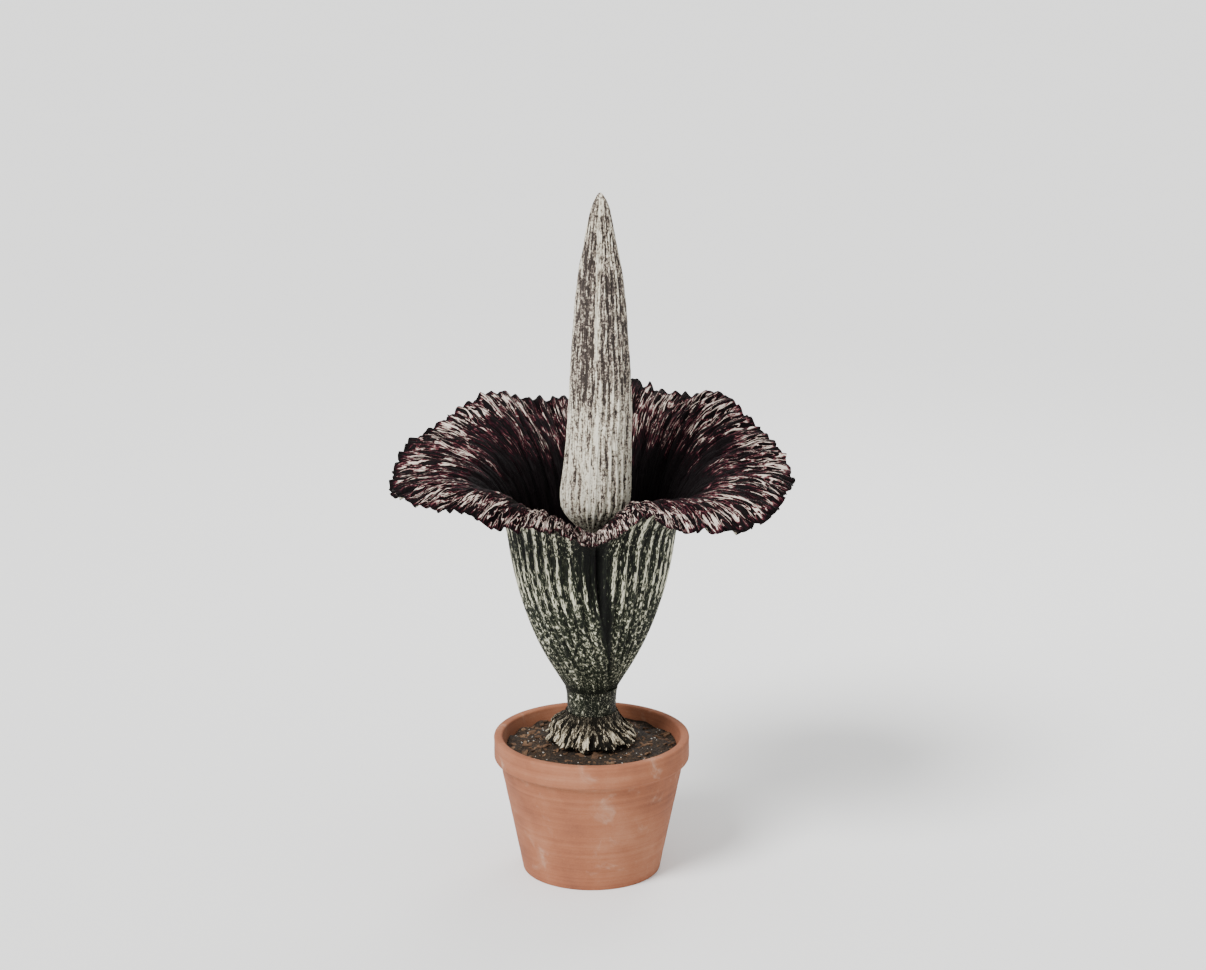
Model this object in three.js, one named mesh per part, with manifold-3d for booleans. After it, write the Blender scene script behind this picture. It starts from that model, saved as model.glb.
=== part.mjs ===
// A titan arum in flower, standing in a plain clay pot. Millimetres, +Z up, the origin at the
// middle of the pot's underside, and the front, where the spathe's two margins overlap, towards -Y.
//
// The flower is one giant bract, the spathe, wrapped round a tall fluted spadix. Inside the tube the
// spadix carries a band of pistillate flowers and, above it, a band of staminate flowers. A thick
// mottled peduncle lifts it all from the tuber in the soil, and dry sheaths skirt the peduncle's foot.
import * as THREE from "three";
import { mergeVertices } from "three/addons/utils/BufferGeometryUtils.js";
import Module from "manifold-3d";

const wasm = await Module();
wasm.setup();

// Clearance between two pieces that lie face to face.
const GAP = 0.3;

// The pot: a tapered wall under a thicker band, and four drain holes in its floor.
const POT_HEIGHT = 430;
const POT_BASE_RADIUS = 212;
const POT_SHOULDER_RADIUS = 283;
const POT_SHOULDER_HEIGHT = 354;
const POT_RIM_RADIUS = 300;
const POT_WALL = 24;
const POT_FLOOR = 28;
const POT_EDGE_ROUND = 7;
const POT_SIDES = 44;
const DRAIN_HOLES = 4;
const DRAIN_RADIUS = 12;
const DRAIN_CIRCLE = 115;
const DRAIN_SIDES = 12;

// The soil: level round the plant, falling a little to the pot's wall, with clods on the slope.
const SOIL_LINE = 404;
const SOIL_EDGE_DROP = 14;
const SOIL_LEVEL_RADIUS = 160;
const SOIL_RINGS = 4;
const SOIL_CLOD = 5;
const CLODS_RISE = [SOIL_LEVEL_RADIUS, SOIL_LEVEL_RADIUS + 20];

// The tuber, a flattened globe with a level crown that the peduncle grows from. Its outline starts
// and ends at these angles from its level middle.
const TUBER_RADIUS = 178;
const TUBER_CENTRE = 190;
const TUBER_HALF_HEIGHT = 116;
const TUBER_UNDERSIDE = -70;
const TUBER_SHOULDER = 64;
const TUBER_CROWN_RADIUS = 75;
const TUBER_TOP = 303;
const TUBER_LUMP = 5;
const TUBER_LUMPS_ROUND = [5, 11];
const TUBER_RINGS = 9;
const TUBER_SIDES = 26;

// Heights on the plant are given above the soil line from here on. The peduncle's outline, as
// radius and height, ends where the spathe and the spadix stand on it.
const SPATHE_FOOT = 182;
const PEDUNCLE_FOOT_RADIUS = 72;
const PEDUNCLE = [
  [PEDUNCLE_FOOT_RADIUS, -8], [70, 20], [70, 78], [74, 100], [75, 122], [76, 150],
  [78, 168], [81, SPATHE_FOOT - 6], [81, SPATHE_FOOT - GAP],
];
const PEDUNCLE_SIDES = 32;

// The spathe's tube, as radius and height of a meridian's four control points. A stretch of the
// sheet is given as two places along it: 0 is the foot, 1 the throat and 2 the rim.
const TUBE = [[76, SPATHE_FOOT], [118, 255], [215, 405], [246, 656]];
const SPATHE_RIBS = 44;
const TUBE_ROWS = 6;
const LIMB_ROWS = 7;
const WALL_AT_FOOT = 6;
const WALL_AT_THROAT = 4.6;
const WALL_AT_RIM = 2.6;
const FOOT_STRETCH = [0, 0.12];
// The limb's rim, round from the front towards +X: degrees, radius, height, how far its edge points
// above the level, and how far the limb goes on up from the throat before it turns outwards. A short
// lip rolls over in front, wings arch out at the sides and the back stands up.
const RIM = [
  [0, 318, 714, -60, 45], [13, 354, 750, -50, 80], [23, 392, 806, -30, 110],
  [33, 440, 774, -52, 150], [45, 500, 766, -50, 165], [56, 546, 760, -42, 165],
  [66, 580, 786, -34, 160], [78, 601, 832, -24, 150], [92, 605, 836, -18, 145],
  [104, 601, 874, -10, 140], [117, 592, 908, -2, 130], [127, 580, 968, 8, 125],
  [136, 569, 1004, 12, 120], [146, 556, 982, 14, 115], [156, 545, 990, 18, 115],
  [166, 536, 1016, 22, 115], [178, 530, 994, 24, 115], [190, 532, 960, 24, 115],
  [203, 544, 964, 20, 115], [216, 559, 992, 16, 120], [229, 576, 942, 6, 125],
  [242, 591, 898, -2, 130], [252, 599, 888, -8, 140], [263, 604, 840, -16, 145],
  [275, 604, 808, -24, 150], [290, 590, 828, -26, 150], [303, 548, 818, -32, 150],
  [314, 503, 824, -34, 145], [323, 464, 784, -44, 135], [335, 406, 782, -46, 105],
  [346, 358, 756, -54, 85],
];
// The rim's end of a meridian reaches back by these shares of its rise and of its spread.
const REACH_OF_RISE = 0.5;
const REACH_OF_SPREAD = 0.35;
const TUBE_RIB_DEPTH = 3.6;
const TUBE_RIB_STRETCH = [0.02, 0.5];
const RIM_PLEAT_DEPTH = 7;
const RIM_PLEAT_STRETCH = [1.1, 2];
// A hollow under the front lip, where the two panels part above their overlap.
const NOTCH_DEPTH = 26;
const NOTCH_MIDDLE = -2;
const NOTCH_HALF_WIDTH = 13;
const NOTCH_OPENS = [0.35, 0.95];
const NOTCH_DEEPENS = [0.55, 0.95];
const NOTCH_ENDS = [1.02, 1.4];
// Where the margins overlap, in degrees from the front, the right one is tucked in and the left one
// stands out over it. Both come close together at the rim.
const TUCK_UNDER = 18;
const TUCK_AT_RIM = 5;
const TUCK_NARROWS = [0.9, 1.9];
const LAP_OVER = 30;
const LAP_AT_RIM = 3;
const LAP_NARROWS = [0, 0.95];
const TUCK_DEPTH = 13;
const TUCK_DEPTH_AT_FOOT = 0.65 * TUCK_DEPTH;
const TUCK_DEEPENS = [0, 0.8];
const LAP_LIFT = 5;
const LAP_CLEARANCE = 3;
const LAP_EASE = 55;
// The relief dies out beside the overlap, over these degrees past the lapping margin, and on the limb
// over these degrees before it.
const CALM_EASE = [-1, 14];
const CALM_LIMB = [345, 358];
const CALM_LIMB_STRETCH = [0.8, 1.3];

// The spadix: the flower bands at the tube's foot, and the appendix's outline as height and radius.
const PISTILLATE_HEIGHT = 164;
const PISTILLATE_CORE = 40;
const PISTILLATE_ROWS = 6;
const PISTILLATE_PER_ROW = 12;
const PISTILLATE_SUNK = 2;
const OVARY_RADIUS = 12;
const STYLE_RADIUS = 2.4;
const STYLE_REACH = 57;
const STYLE_TILT = 6;
const STAMINATE_HEIGHT = 140;
const STAMINATE_CORE = 43;
const STAMINATE_RELIEF = 6;
const STAMINATE_SIDES = 36;
const STAMINATE_ROWS = 10;
const APPENDIX = [
  [656, 33], [680, 42], [702, 64], [726, 86], [754, 101], [790, 105], [923, 97],
  [1077, 92], [1199, 86], [1289, 80], [1380, 73], [1469, 62], [1529, 49], [1588, 39], [1647, 28],
  [1684, 15],
];
const APPENDIX_FOOT_RADIUS = 38;
const SPADIX_TIP = 1698;
const SPADIX_TIP_RADIUS = 4;
const SPADIX_LEAN = 27;
const LEAN_ENDS = 1120;
const APPENDIX_FLUTES = 30;
const FLUTE_DEPTH = 3;
const FLUTES_START = [656, 720];
const FULL_FLUTES_RADIUS = 50;

// The dry sheaths that skirt the peduncle's foot, in an inner and an outer whorl.
const SHEATH = [[76, 104], [79, 84], [96, 48], [142, 7]];
const SHEATHS_PER_WHORL = 4;
const SHEATH_PLEAT = 20;
const SHEATH_SPAN = 4 * SHEATH_PLEAT;
const OUTER_WHORL_TURN = 50;
const SHEATH_WALL = 2.4;
const SHEATH_STAND = 0.8;
const HEM_STAND = 5;
const SHEATH_PLEAT_DEPTH = 5;
const SHEATH_PLEAT_STRETCH = [0.1, 0.9];
const SHEATH_COLUMNS = 8;
const SHEATH_ROWS = 6;
const SHEATH_RAGGED = 0.1;
// On the left the sheaths bulge out in a shoulder, which rises and falls over these stretches.
const BULGE_DEPTH = 20;
const BULGE_MIDDLE = 278;
const BULGE_EASE = [0, 80];
const BULGE_RISES = [0.16, 0.46];
const BULGE_FALLS = [0.52, 0.9];
const SHEATH_SHOULDER = 0.12;

const clay = new THREE.MeshStandardMaterial({ color: 0xa8694a, roughness: 0.9 });
const loam = new THREE.MeshStandardMaterial({ color: 0x2c221b, roughness: 1 });
const corm = new THREE.MeshStandardMaterial({ color: 0x6b5238, roughness: 0.9 });
const stalk = new THREE.MeshStandardMaterial({ color: 0x2f3a26, roughness: 0.6 });
const bloom = new THREE.MeshStandardMaterial({ color: 0x4a1626, roughness: 0.65 });
const pale = new THREE.MeshStandardMaterial({ color: 0xbcb59a, roughness: 0.7 });
const anther = new THREE.MeshStandardMaterial({ color: 0xd8c88a, roughness: 0.8 });
const pistil = new THREE.MeshStandardMaterial({ color: 0x5a2338, roughness: 0.6 });
const dry = new THREE.MeshStandardMaterial({ color: 0x6d6248, roughness: 0.9 });

const radians = (degrees) => (degrees * Math.PI) / 180;
const mix = (from, to, share) => from + (to - from) * share;

// 0 below start, 1 above end, and a smooth rise between them.
function ramp(x, start, end) {
  const share = Math.min(1, Math.max(0, (x - start) / (end - start)));
  return share * share * (3 - 2 * share);
}

// A triangle wave of period 1: 1 at whole numbers and -1 halfway between them.
const pleat = (x) => 1 - 4 * Math.abs(x - Math.round(x));

// The values of a closed outline at an angle, on a smooth curve through its stations.
function around(stations, degrees) {
  const angle = ((degrees % 360) + 360) % 360;
  const count = stations.length;
  const at = (i) => {
    const turns = Math.floor(i / count);
    const [start, ...values] = stations[i - turns * count];
    return { start: start + 360 * turns, values };
  };
  let i = count - 1;
  while (stations[i][0] > angle) i--;
  const [before, from, to, after] = [at(i - 1), at(i), at(i + 1), at(i + 2)];
  const gap = to.start - from.start;
  const t = (angle - from.start) / gap;
  return from.values.map((value, k) => {
    const leaving = (gap * (to.values[k] - before.values[k])) / (to.start - before.start);
    const arriving = (gap * (after.values[k] - value)) / (after.start - from.start);
    return value * (2 * t ** 3 - 3 * t ** 2 + 1) + leaving * (t ** 3 - 2 * t ** 2 + t) +
      to.values[k] * (3 * t ** 2 - 2 * t ** 3) + arriving * (t ** 3 - t ** 2);
  });
}

// The point of a plane cubic Bezier at share, and its unit tangent.
function bezier([p0, p1, p2, p3], share) {
  const rest = 1 - share;
  const at = (i) => rest ** 3 * p0[i] + 3 * rest ** 2 * share * p1[i] +
    3 * rest * share ** 2 * p2[i] + share ** 3 * p3[i];
  const slope = (i) => rest ** 2 * (p1[i] - p0[i]) + 2 * rest * share * (p2[i] - p1[i]) +
    share ** 2 * (p3[i] - p2[i]);
  const length = Math.hypot(slope(0), slope(1));
  return { point: [at(0), at(1)], tangent: [slope(0) / length, slope(1) / length] };
}

// A point at a radius and a height, degrees round from the front towards +X.
function polar(radius, degrees, height) {
  const angle = radians(degrees);
  return [radius * Math.sin(angle), -radius * Math.cos(angle), height];
}

// A closed geometry from points and triangles, turned so that its faces point out.
function geometryOf(points, triangles) {
  let volume = 0;
  for (const [a, b, c] of triangles) {
    const [p, q, r] = [a, b, c].map((i) => new THREE.Vector3(...points[i]));
    volume += p.dot(q.cross(r));
  }
  const faces = volume < 0 ? triangles.map(([a, b, c]) => [a, c, b]) : triangles;
  const geometry = new THREE.BufferGeometry();
  geometry.setAttribute("position", new THREE.Float32BufferAttribute(points.flat(), 3));
  geometry.setIndex(faces.flat());
  geometry.computeVertexNormals();
  return geometry;
}

// A solid of closed rings, each a list of as many points, from the lowest to the highest.
function ringSolid(rings) {
  const sides = rings[0].length;
  const points = rings.flat();
  const triangles = [];
  rings.slice(1).forEach((ring, row) => {
    const low = row * sides;
    const high = low + sides;
    for (let i = 0; i < sides; i++) {
      const next = (i + 1) % sides;
      triangles.push([low + i, low + next, high + next], [low + i, high + next, high + i]);
    }
  });
  for (const [ring, start] of [[rings[0], 0], [rings.at(-1), (rings.length - 1) * sides]]) {
    const middle = points.length;
    points.push([0, 1, 2].map((k) => ring.reduce((sum, p) => sum + p[k], 0) / sides));
    for (let i = 0; i < sides; i++) {
      const edge = [start + i, start + ((i + 1) % sides)];
      triangles.push(start ? [edge[0], edge[1], middle] : [edge[1], edge[0], middle]);
    }
  }
  return geometryOf(points, triangles);
}

// A solid of revolution, with the radius at each ring and angle changed by swell.
function turned(outline, sides, swell = () => 0) {
  return ringSolid(outline.map(([radius, height], row) =>
    Array.from({ length: sides }, (_, i) => {
      const degrees = (360 * i) / sides;
      return polar(radius + swell(degrees, row), degrees, height);
    })));
}

// A closed sheet: rows of { outer, inner } points. A row has as many points as the last one, or
// twice as many spaces between them, and both faces are split into triangles alike.
function sheetSolid(rows) {
  const points = [];
  const index = rows.map((row) => row.map(({ outer, inner }) => {
    points.push(outer, inner);
    return points.length - 2;
  }));
  const triangles = [];
  const face = (a, b, c) => {
    triangles.push([a, b, c], [a + 1, c + 1, b + 1]);
  };
  const edge = (a, b) => {
    triangles.push([a, a + 1, b + 1], [a, b + 1, b]);
  };
  for (let r = 0; r < index.length - 1; r++) {
    const [low, high] = [index[r], index[r + 1]];
    const twice = high.length > low.length;
    for (let i = 0; i < low.length - 1; i++) {
      if (twice) {
        face(low[i], high[2 * i + 1], high[2 * i]);
        face(low[i], low[i + 1], high[2 * i + 1]);
        face(low[i + 1], high[2 * i + 2], high[2 * i + 1]);
      } else if (i % 2) {
        face(low[i], low[i + 1], high[i]);
        face(low[i + 1], high[i + 1], high[i]);
      } else {
        face(low[i], high[i + 1], high[i]);
        face(low[i], low[i + 1], high[i + 1]);
      }
    }
    edge(high[0], low[0]);
    edge(low.at(-1), high.at(-1));
  }
  const [first, last] = [index[0], index.at(-1)];
  for (let i = 0; i < first.length - 1; i++) edge(first[i], first[i + 1]);
  for (let i = 0; i < last.length - 1; i++) edge(last[i + 1], last[i]);
  return geometryOf(points, triangles);
}

function solidOf(geometry) {
  const bare = geometry.clone();
  bare.deleteAttribute("normal");
  bare.deleteAttribute("uv");
  const merged = mergeVertices(bare, 1e-3);
  return new wasm.Manifold(new wasm.Mesh({
    numProp: 3,
    vertProperties: merged.attributes.position.array,
    triVerts: new Uint32Array(merged.index.array),
  }));
}

function geometryFrom(solid) {
  const mesh = solid.getMesh();
  const geometry = new THREE.BufferGeometry();
  geometry.setAttribute("position", new THREE.BufferAttribute(mesh.vertProperties, 3));
  geometry.setIndex(new THREE.BufferAttribute(mesh.triVerts, 1));
  geometry.computeVertexNormals();
  return geometry;
}

function node(name, geometry, material) {
  const mesh = new THREE.Mesh(geometry, material);
  mesh.name = name;
  return mesh;
}

// The outer radius of the pot's plain wall at a height.
const potWallRadius = (height) =>
  mix(POT_BASE_RADIUS, POT_SHOULDER_RADIUS, height / POT_SHOULDER_HEIGHT);
const potInnerRadius = (height) => potWallRadius(height) - POT_WALL;

function pot() {
  const round = POT_EDGE_ROUND;
  const top = POT_HEIGHT;
  const inner = potInnerRadius(top);
  const outline = [
    [0, 0],
    [POT_BASE_RADIUS - round / 2, 0],
    [potWallRadius(round / 2), round / 2],
    [POT_SHOULDER_RADIUS, POT_SHOULDER_HEIGHT],
    [POT_RIM_RADIUS - round / 2, POT_SHOULDER_HEIGHT + round / 2],
    [POT_RIM_RADIUS, POT_SHOULDER_HEIGHT + round],
    [POT_RIM_RADIUS, top - round],
    [POT_RIM_RADIUS - round / 3, top - round / 3],
    [POT_RIM_RADIUS - round, top],
    [inner + round, top],
    [inner + round / 3, top - round / 3],
    [potInnerRadius(top - round), top - round],
    [potInnerRadius(POT_FLOOR), POT_FLOOR],
    [0, POT_FLOOR],
  ].map(([radius, height]) => new THREE.Vector2(radius, height));
  const body = new THREE.LatheGeometry(outline, POT_SIDES).rotateX(Math.PI / 2);
  let solid = solidOf(body);
  for (let i = 0; i < DRAIN_HOLES; i++) {
    const [x, y] = polar(DRAIN_CIRCLE, (360 * (i + 0.5)) / DRAIN_HOLES, 0);
    const drill = new THREE.CylinderGeometry(DRAIN_RADIUS, DRAIN_RADIUS, 3 * POT_FLOOR, DRAIN_SIDES);
    solid = solid.subtract(solidOf(drill.rotateX(Math.PI / 2).translate(x, y, 0)));
  }
  return node("pot", geometryFrom(solid), clay);
}

// The tuber's outline from its underside to its crown, grown by a clearance all over.
function tuberOutline(clearance) {
  const outline = Array.from({ length: TUBER_RINGS }, (_, i) => {
    const angle = radians(mix(TUBER_UNDERSIDE, TUBER_SHOULDER, i / (TUBER_RINGS - 1)));
    return [
      (TUBER_RADIUS + clearance) * Math.cos(angle),
      TUBER_CENTRE + (TUBER_HALF_HEIGHT + clearance) * Math.sin(angle),
    ];
  });
  outline[0][1] -= clearance;
  outline.push([TUBER_CROWN_RADIUS + clearance, TUBER_TOP + clearance]);
  return outline;
}

// Low lumps round the tuber, none near its crown.
function tuberLumps(degrees, row) {
  const [few, many] = TUBER_LUMPS_ROUND.map((count) => radians(count * degrees));
  const atCrown = row > TUBER_RINGS - 2;
  return atCrown ? 0 : TUBER_LUMP * (Math.sin(few + row) + 0.6 * Math.sin(many - 2 * row));
}

const tuber = () => node("tuber", turned(tuberOutline(0), TUBER_SIDES, tuberLumps), corm);

// Soft clods on the soil between the sheaths and the pot's wall.
function clods(x, y) {
  const slope = ramp(Math.hypot(x, y), ...CLODS_RISE);
  const wave = Math.sin(x / 17 + 1.3) * Math.cos(y / 21) + 0.7 * Math.sin((x + 2 * y) / 29 - 0.6);
  return SOIL_CLOD * wave * slope;
}

// The soil fills the pot round the tuber and has a plain hole that the peduncle stands in.
function soil() {
  const edgeHeight = SOIL_LINE - SOIL_EDGE_DROP - 2 * SOIL_CLOD;
  const edge = potInnerRadius(edgeHeight) - 4 * GAP;
  const ring = (radius, height, relief = () => 0) => Array.from({ length: POT_SIDES }, (_, i) => {
    const [x, y] = polar(radius, (360 * i) / POT_SIDES, 0);
    return [x, y, height + relief(x, y)];
  });
  const rings = [ring(potInnerRadius(POT_FLOOR) - 2 * GAP, POT_FLOOR + GAP), ring(edge, edgeHeight)];
  for (let i = 0; i <= SOIL_RINGS; i++) {
    const radius = mix(edge - 1, SOIL_LEVEL_RADIUS, i / SOIL_RINGS);
    const drop = SOIL_EDGE_DROP * ramp(radius, SOIL_LEVEL_RADIUS, edge);
    rings.push(ring(radius, SOIL_LINE - drop, clods));
  }
  rings.push(ring(PEDUNCLE_FOOT_RADIUS, SOIL_LINE));

  const hole = turned([
    [PEDUNCLE_FOOT_RADIUS + 2 * GAP, TUBER_TOP - 1],
    [PEDUNCLE_FOOT_RADIUS + 2 * GAP, SOIL_LINE + 1],
  ], PEDUNCLE_SIDES);
  const pit = turned(tuberOutline(2 * GAP), TUBER_SIDES, tuberLumps);
  const whole = solidOf(ringSolid(rings));
  return node("soil", geometryFrom(whole.subtract(solidOf(pit)).subtract(solidOf(hole))), loam);
}

function peduncle() {
  const foot = [PEDUNCLE_FOOT_RADIUS, TUBER_TOP + GAP];
  const outline = [foot, ...PEDUNCLE.map(([radius, height]) => [radius, SOIL_LINE + height])];
  return node("peduncle", turned(outline, PEDUNCLE_SIDES), stalk);
}

// The spathe's smooth middle surface at an angle: along is 0 at the foot, 1 at the throat and 2 at
// the rim. It gives the radius, the height above the soil line and the outward normal.
function meridian(degrees, along) {
  if (along <= 1) {
    const { point, tangent } = bezier(TUBE, along);
    const foot = ramp(along, ...FOOT_STRETCH);
    const normal = [mix(1, tangent[1], foot), mix(0, -tangent[0], foot)];
    const length = Math.hypot(...normal);
    return { radius: point[0], height: point[1], normal: normal.map((n) => n / length) };
  }
  const [rimRadius, rimHeight, rimSlope, rise] = around(RIM, degrees);
  const throat = TUBE[3];
  const lean = bezier(TUBE, 1).tangent;
  const spread = Math.hypot(rimRadius - throat[0], rimHeight - throat[1]);
  const reach = REACH_OF_RISE * rise + REACH_OF_SPREAD * spread;
  const slope = radians(rimSlope);
  const { point, tangent } = bezier([
    throat,
    [throat[0] + rise * lean[0], throat[1] + rise * lean[1]],
    [rimRadius - reach * Math.cos(slope), rimHeight - reach * Math.sin(slope)],
    [rimRadius, rimHeight],
  ], along - 1);
  return { radius: point[0], height: point[1], normal: [tangent[1], -tangent[0]] };
}

// How far the two margins pass each other in front, in degrees.
function margins(along) {
  return {
    start: -mix(TUCK_UNDER, TUCK_AT_RIM, ramp(along, ...TUCK_NARROWS)),
    end: 360 + LAP_AT_RIM + LAP_OVER * (1 - ramp(along, ...LAP_NARROWS)),
  };
}

// The sheet's two faces at a share round from the tucked margin to the lapping one.
function spathePoint(share, along) {
  const { start, end } = margins(along);
  const degrees = mix(start, end, share);
  const lapEnd = end - 360;
  const tuckEnd = start + 360;
  const { radius, height, normal } = meridian(degrees, along);

  const depth = mix(TUCK_DEPTH_AT_FOOT, TUCK_DEPTH, ramp(along, ...TUCK_DEEPENS));
  const tucked = -depth * (1 - ramp(degrees, lapEnd + LAP_CLEARANCE, lapEnd + LAP_EASE));
  const lapped = LAP_LIFT * ramp(degrees, tuckEnd - LAP_EASE, tuckEnd - LAP_CLEARANCE);
  const ribs = TUBE_RIB_DEPTH * ramp(along, ...TUBE_RIB_STRETCH) * pleat(SPATHE_RIBS * share);
  const frill = RIM_PLEAT_DEPTH * ramp(along, ...RIM_PLEAT_STRETCH) * pleat(2 * SPATHE_RIBS * share);
  const calm = ramp(degrees, lapEnd + CALM_EASE[0], lapEnd + CALM_EASE[1]) *
    (1 - ramp(degrees, ...CALM_LIMB) * ramp(along, ...CALM_LIMB_STRETCH));
  const front = Math.abs(((degrees - NOTCH_MIDDLE + 540) % 360) - 180);
  const halfWidth = 1 + NOTCH_HALF_WIDTH * ramp(along, ...NOTCH_OPENS);
  const notch = -NOTCH_DEPTH * ramp(along, ...NOTCH_DEEPENS) * (1 - ramp(along, ...NOTCH_ENDS)) *
    (1 - ramp(front, 0, halfWidth));
  const out = tucked + lapped + (ribs + frill) * calm + notch;

  const wall = along < 1 ? mix(WALL_AT_FOOT, WALL_AT_THROAT, along) :
    mix(WALL_AT_THROAT, WALL_AT_RIM, along - 1);
  const at = (offset) => polar(radius + offset * normal[0], degrees,
    SOIL_LINE + height + offset * normal[1]);
  return { outer: at(out + wall / 2), inner: at(out - wall / 2) };
}

function spathe() {
  const tubeColumns = 2 * SPATHE_RIBS;
  const row = (along, columns) =>
    Array.from({ length: columns + 1 }, (_, i) => spathePoint(i / columns, along));
  const rows = [];
  for (let i = 0; i <= TUBE_ROWS; i++) rows.push(row(i / TUBE_ROWS, tubeColumns));
  for (let i = 1; i <= LIMB_ROWS; i++) rows.push(row(1 + i / LIMB_ROWS, 2 * tubeColumns));
  return node("spathe", sheetSolid(rows), bloom);
}

// The base heights of the three parts of the spadix.
const pistillateFoot = SOIL_LINE + SPATHE_FOOT;
const staminateFoot = pistillateFoot + PISTILLATE_HEIGHT + GAP;
const appendixFoot = staminateFoot + STAMINATE_HEIGHT + GAP;

// Flowers with a swollen ovary and a style, in staggered rows that cover a core.
function pistillateFlowers() {
  const core = new THREE.CylinderGeometry(
    PISTILLATE_CORE, PISTILLATE_CORE, PISTILLATE_HEIGHT, 2 * PISTILLATE_PER_ROW);
  core.rotateX(Math.PI / 2).translate(0, 0, pistillateFoot + PISTILLATE_HEIGHT / 2);
  const lowest = pistillateFoot + OVARY_RADIUS - PISTILLATE_SUNK;
  const pitch = (PISTILLATE_HEIGHT - 2 * (OVARY_RADIUS + PISTILLATE_SUNK)) / (PISTILLATE_ROWS - 1);
  const root = PISTILLATE_CORE - OVARY_RADIUS / 2;
  const flowers = [];
  for (let row = 0; row < PISTILLATE_ROWS; row++) {
    for (let i = 0; i < PISTILLATE_PER_ROW; i++) {
      const flower = new THREE.CylinderGeometry(STYLE_RADIUS, OVARY_RADIUS, STYLE_REACH - root, 4);
      flower.translate(0, (STYLE_REACH + root) / 2, 0).rotateX(radians(180 - STYLE_TILT));
      flower.rotateZ(radians((360 * (i + (row % 2) / 2)) / PISTILLATE_PER_ROW));
      flowers.push(flower.translate(0, 0, lowest + pitch * row));
    }
  }
  const solid = wasm.Manifold.union([core, ...flowers].map(solidOf));
  return node("pistillate_flowers", geometryFrom(solid), pistil);
}

// Close-set anthers, raised from the band in a chequered relief.
function staminateFlowers() {
  const outline = Array.from({ length: STAMINATE_ROWS + 1 }, (_, i) =>
    [STAMINATE_CORE, staminateFoot + (STAMINATE_HEIGHT * i) / STAMINATE_ROWS]);
  const raised = (degrees, row) => {
    const column = Math.round((degrees * STAMINATE_SIDES) / 360);
    const atEnd = row === 0 || row === STAMINATE_ROWS;
    return !atEnd && (column + row) % 2 ? STAMINATE_RELIEF : 0;
  };
  return node("staminate_flowers", turned(outline, STAMINATE_SIDES, raised), anther);
}

// The appendix leans to the right as it rises, and then stands upright.
function appendix() {
  const points = [
    [appendixFoot - SOIL_LINE, APPENDIX_FOOT_RADIUS],
    ...APPENDIX,
    [SPADIX_TIP, SPADIX_TIP_RADIUS],
  ];
  const sides = 2 * APPENDIX_FLUTES;
  const rings = points.map(([height, radius]) => {
    const lean = SPADIX_LEAN * ramp(height, appendixFoot - SOIL_LINE, LEAN_ENDS);
    const depth = FLUTE_DEPTH * ramp(height, ...FLUTES_START) *
      ramp(radius, SPADIX_TIP_RADIUS, FULL_FLUTES_RADIUS);
    return Array.from({ length: sides }, (_, i) => {
      const uneven = 0.75 + 0.25 * Math.sin(1.7 * i + height / 260);
      const swell = (i % 2 ? -1 : 1) * depth * uneven;
      const [x, y] = polar(radius + swell, (360 * i) / sides, 0);
      return [x + lean, y, SOIL_LINE + height];
    });
  });
  return node("spadix_appendix", ringSolid(rings), pale);
}

// One dry sheath, hugging the peduncle at its top and splayed on the soil with a torn hem.
function sheath(index, middle, stand) {
  const rows = [];
  for (let r = 0; r <= SHEATH_ROWS; r++) {
    const row = [];
    for (let c = 0; c <= SHEATH_COLUMNS; c++) {
      const across = c / SHEATH_COLUMNS - 0.5;
      const degrees = middle + across * SHEATH_SPAN;
      const torn = SHEATH_RAGGED * Math.abs(Math.sin(2.3 * c + 1.9 * index + 0.6));
      const shoulder = SHEATH_SHOULDER * (2 * across) ** 4;
      const along = Math.min(1 - torn, Math.max(shoulder, r / SHEATH_ROWS));
      const { point, tangent } = bezier(SHEATH, along);
      const normal = [-tangent[1], tangent[0]];
      const wave = SHEATH_PLEAT_DEPTH * ramp(along, ...SHEATH_PLEAT_STRETCH) *
        pleat(degrees / SHEATH_PLEAT);
      const aside = Math.abs(((degrees - BULGE_MIDDLE + 540) % 360) - 180);
      const bulge = BULGE_DEPTH * ramp(along, ...BULGE_RISES) *
        (1 - ramp(along, ...BULGE_FALLS)) * (1 - ramp(aside, ...BULGE_EASE));
      const out = stand * (SHEATH_WALL + SHEATH_STAND + HEM_STAND * along) + wave + bulge;
      const at = (offset) => polar(point[0] + offset * normal[0], degrees,
        SOIL_LINE + point[1] + offset * normal[1]);
      row.push({ outer: at(out + SHEATH_WALL / 2), inner: at(out - SHEATH_WALL / 2) });
    }
    rows.push(row);
  }
  return node(`sheath_${index}`, sheetSolid(rows), dry);
}

function sheaths() {
  const whorls = new THREE.Group();
  const step = 360 / SHEATHS_PER_WHORL;
  for (let i = 0; i < SHEATHS_PER_WHORL; i++) {
    whorls.add(sheath(2 * i + 1, step * i, 0));
    whorls.add(sheath(2 * i + 2, OUTER_WHORL_TURN + step * i, 1));
  }
  return whorls;
}

const plant = new THREE.Group();
plant.add(tuber(), peduncle(), sheaths(), spathe());
plant.add(pistillateFlowers(), staminateFlowers(), appendix());

const pottedTitanArum = new THREE.Group();
pottedTitanArum.add(pot(), soil(), plant);

export default pottedTitanArum;
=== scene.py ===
"""A titan arum in flower in a clay pot: its fine surfaces, finishes, lights and camera.

The plant's main forms follow the same formulas as its solids, with finer ribs, veins, florets and
torn edges laid over them. In the classes, lengths are millimetres, angles are degrees round from the
front, -Y, towards +X, and heights on the plant are above the soil line. Finished meshes are metres.
"""

from __future__ import annotations

import logging
import math
from contextlib import contextmanager
from dataclasses import dataclass
from enum import Enum
from typing import Callable, Iterator, Sequence

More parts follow.
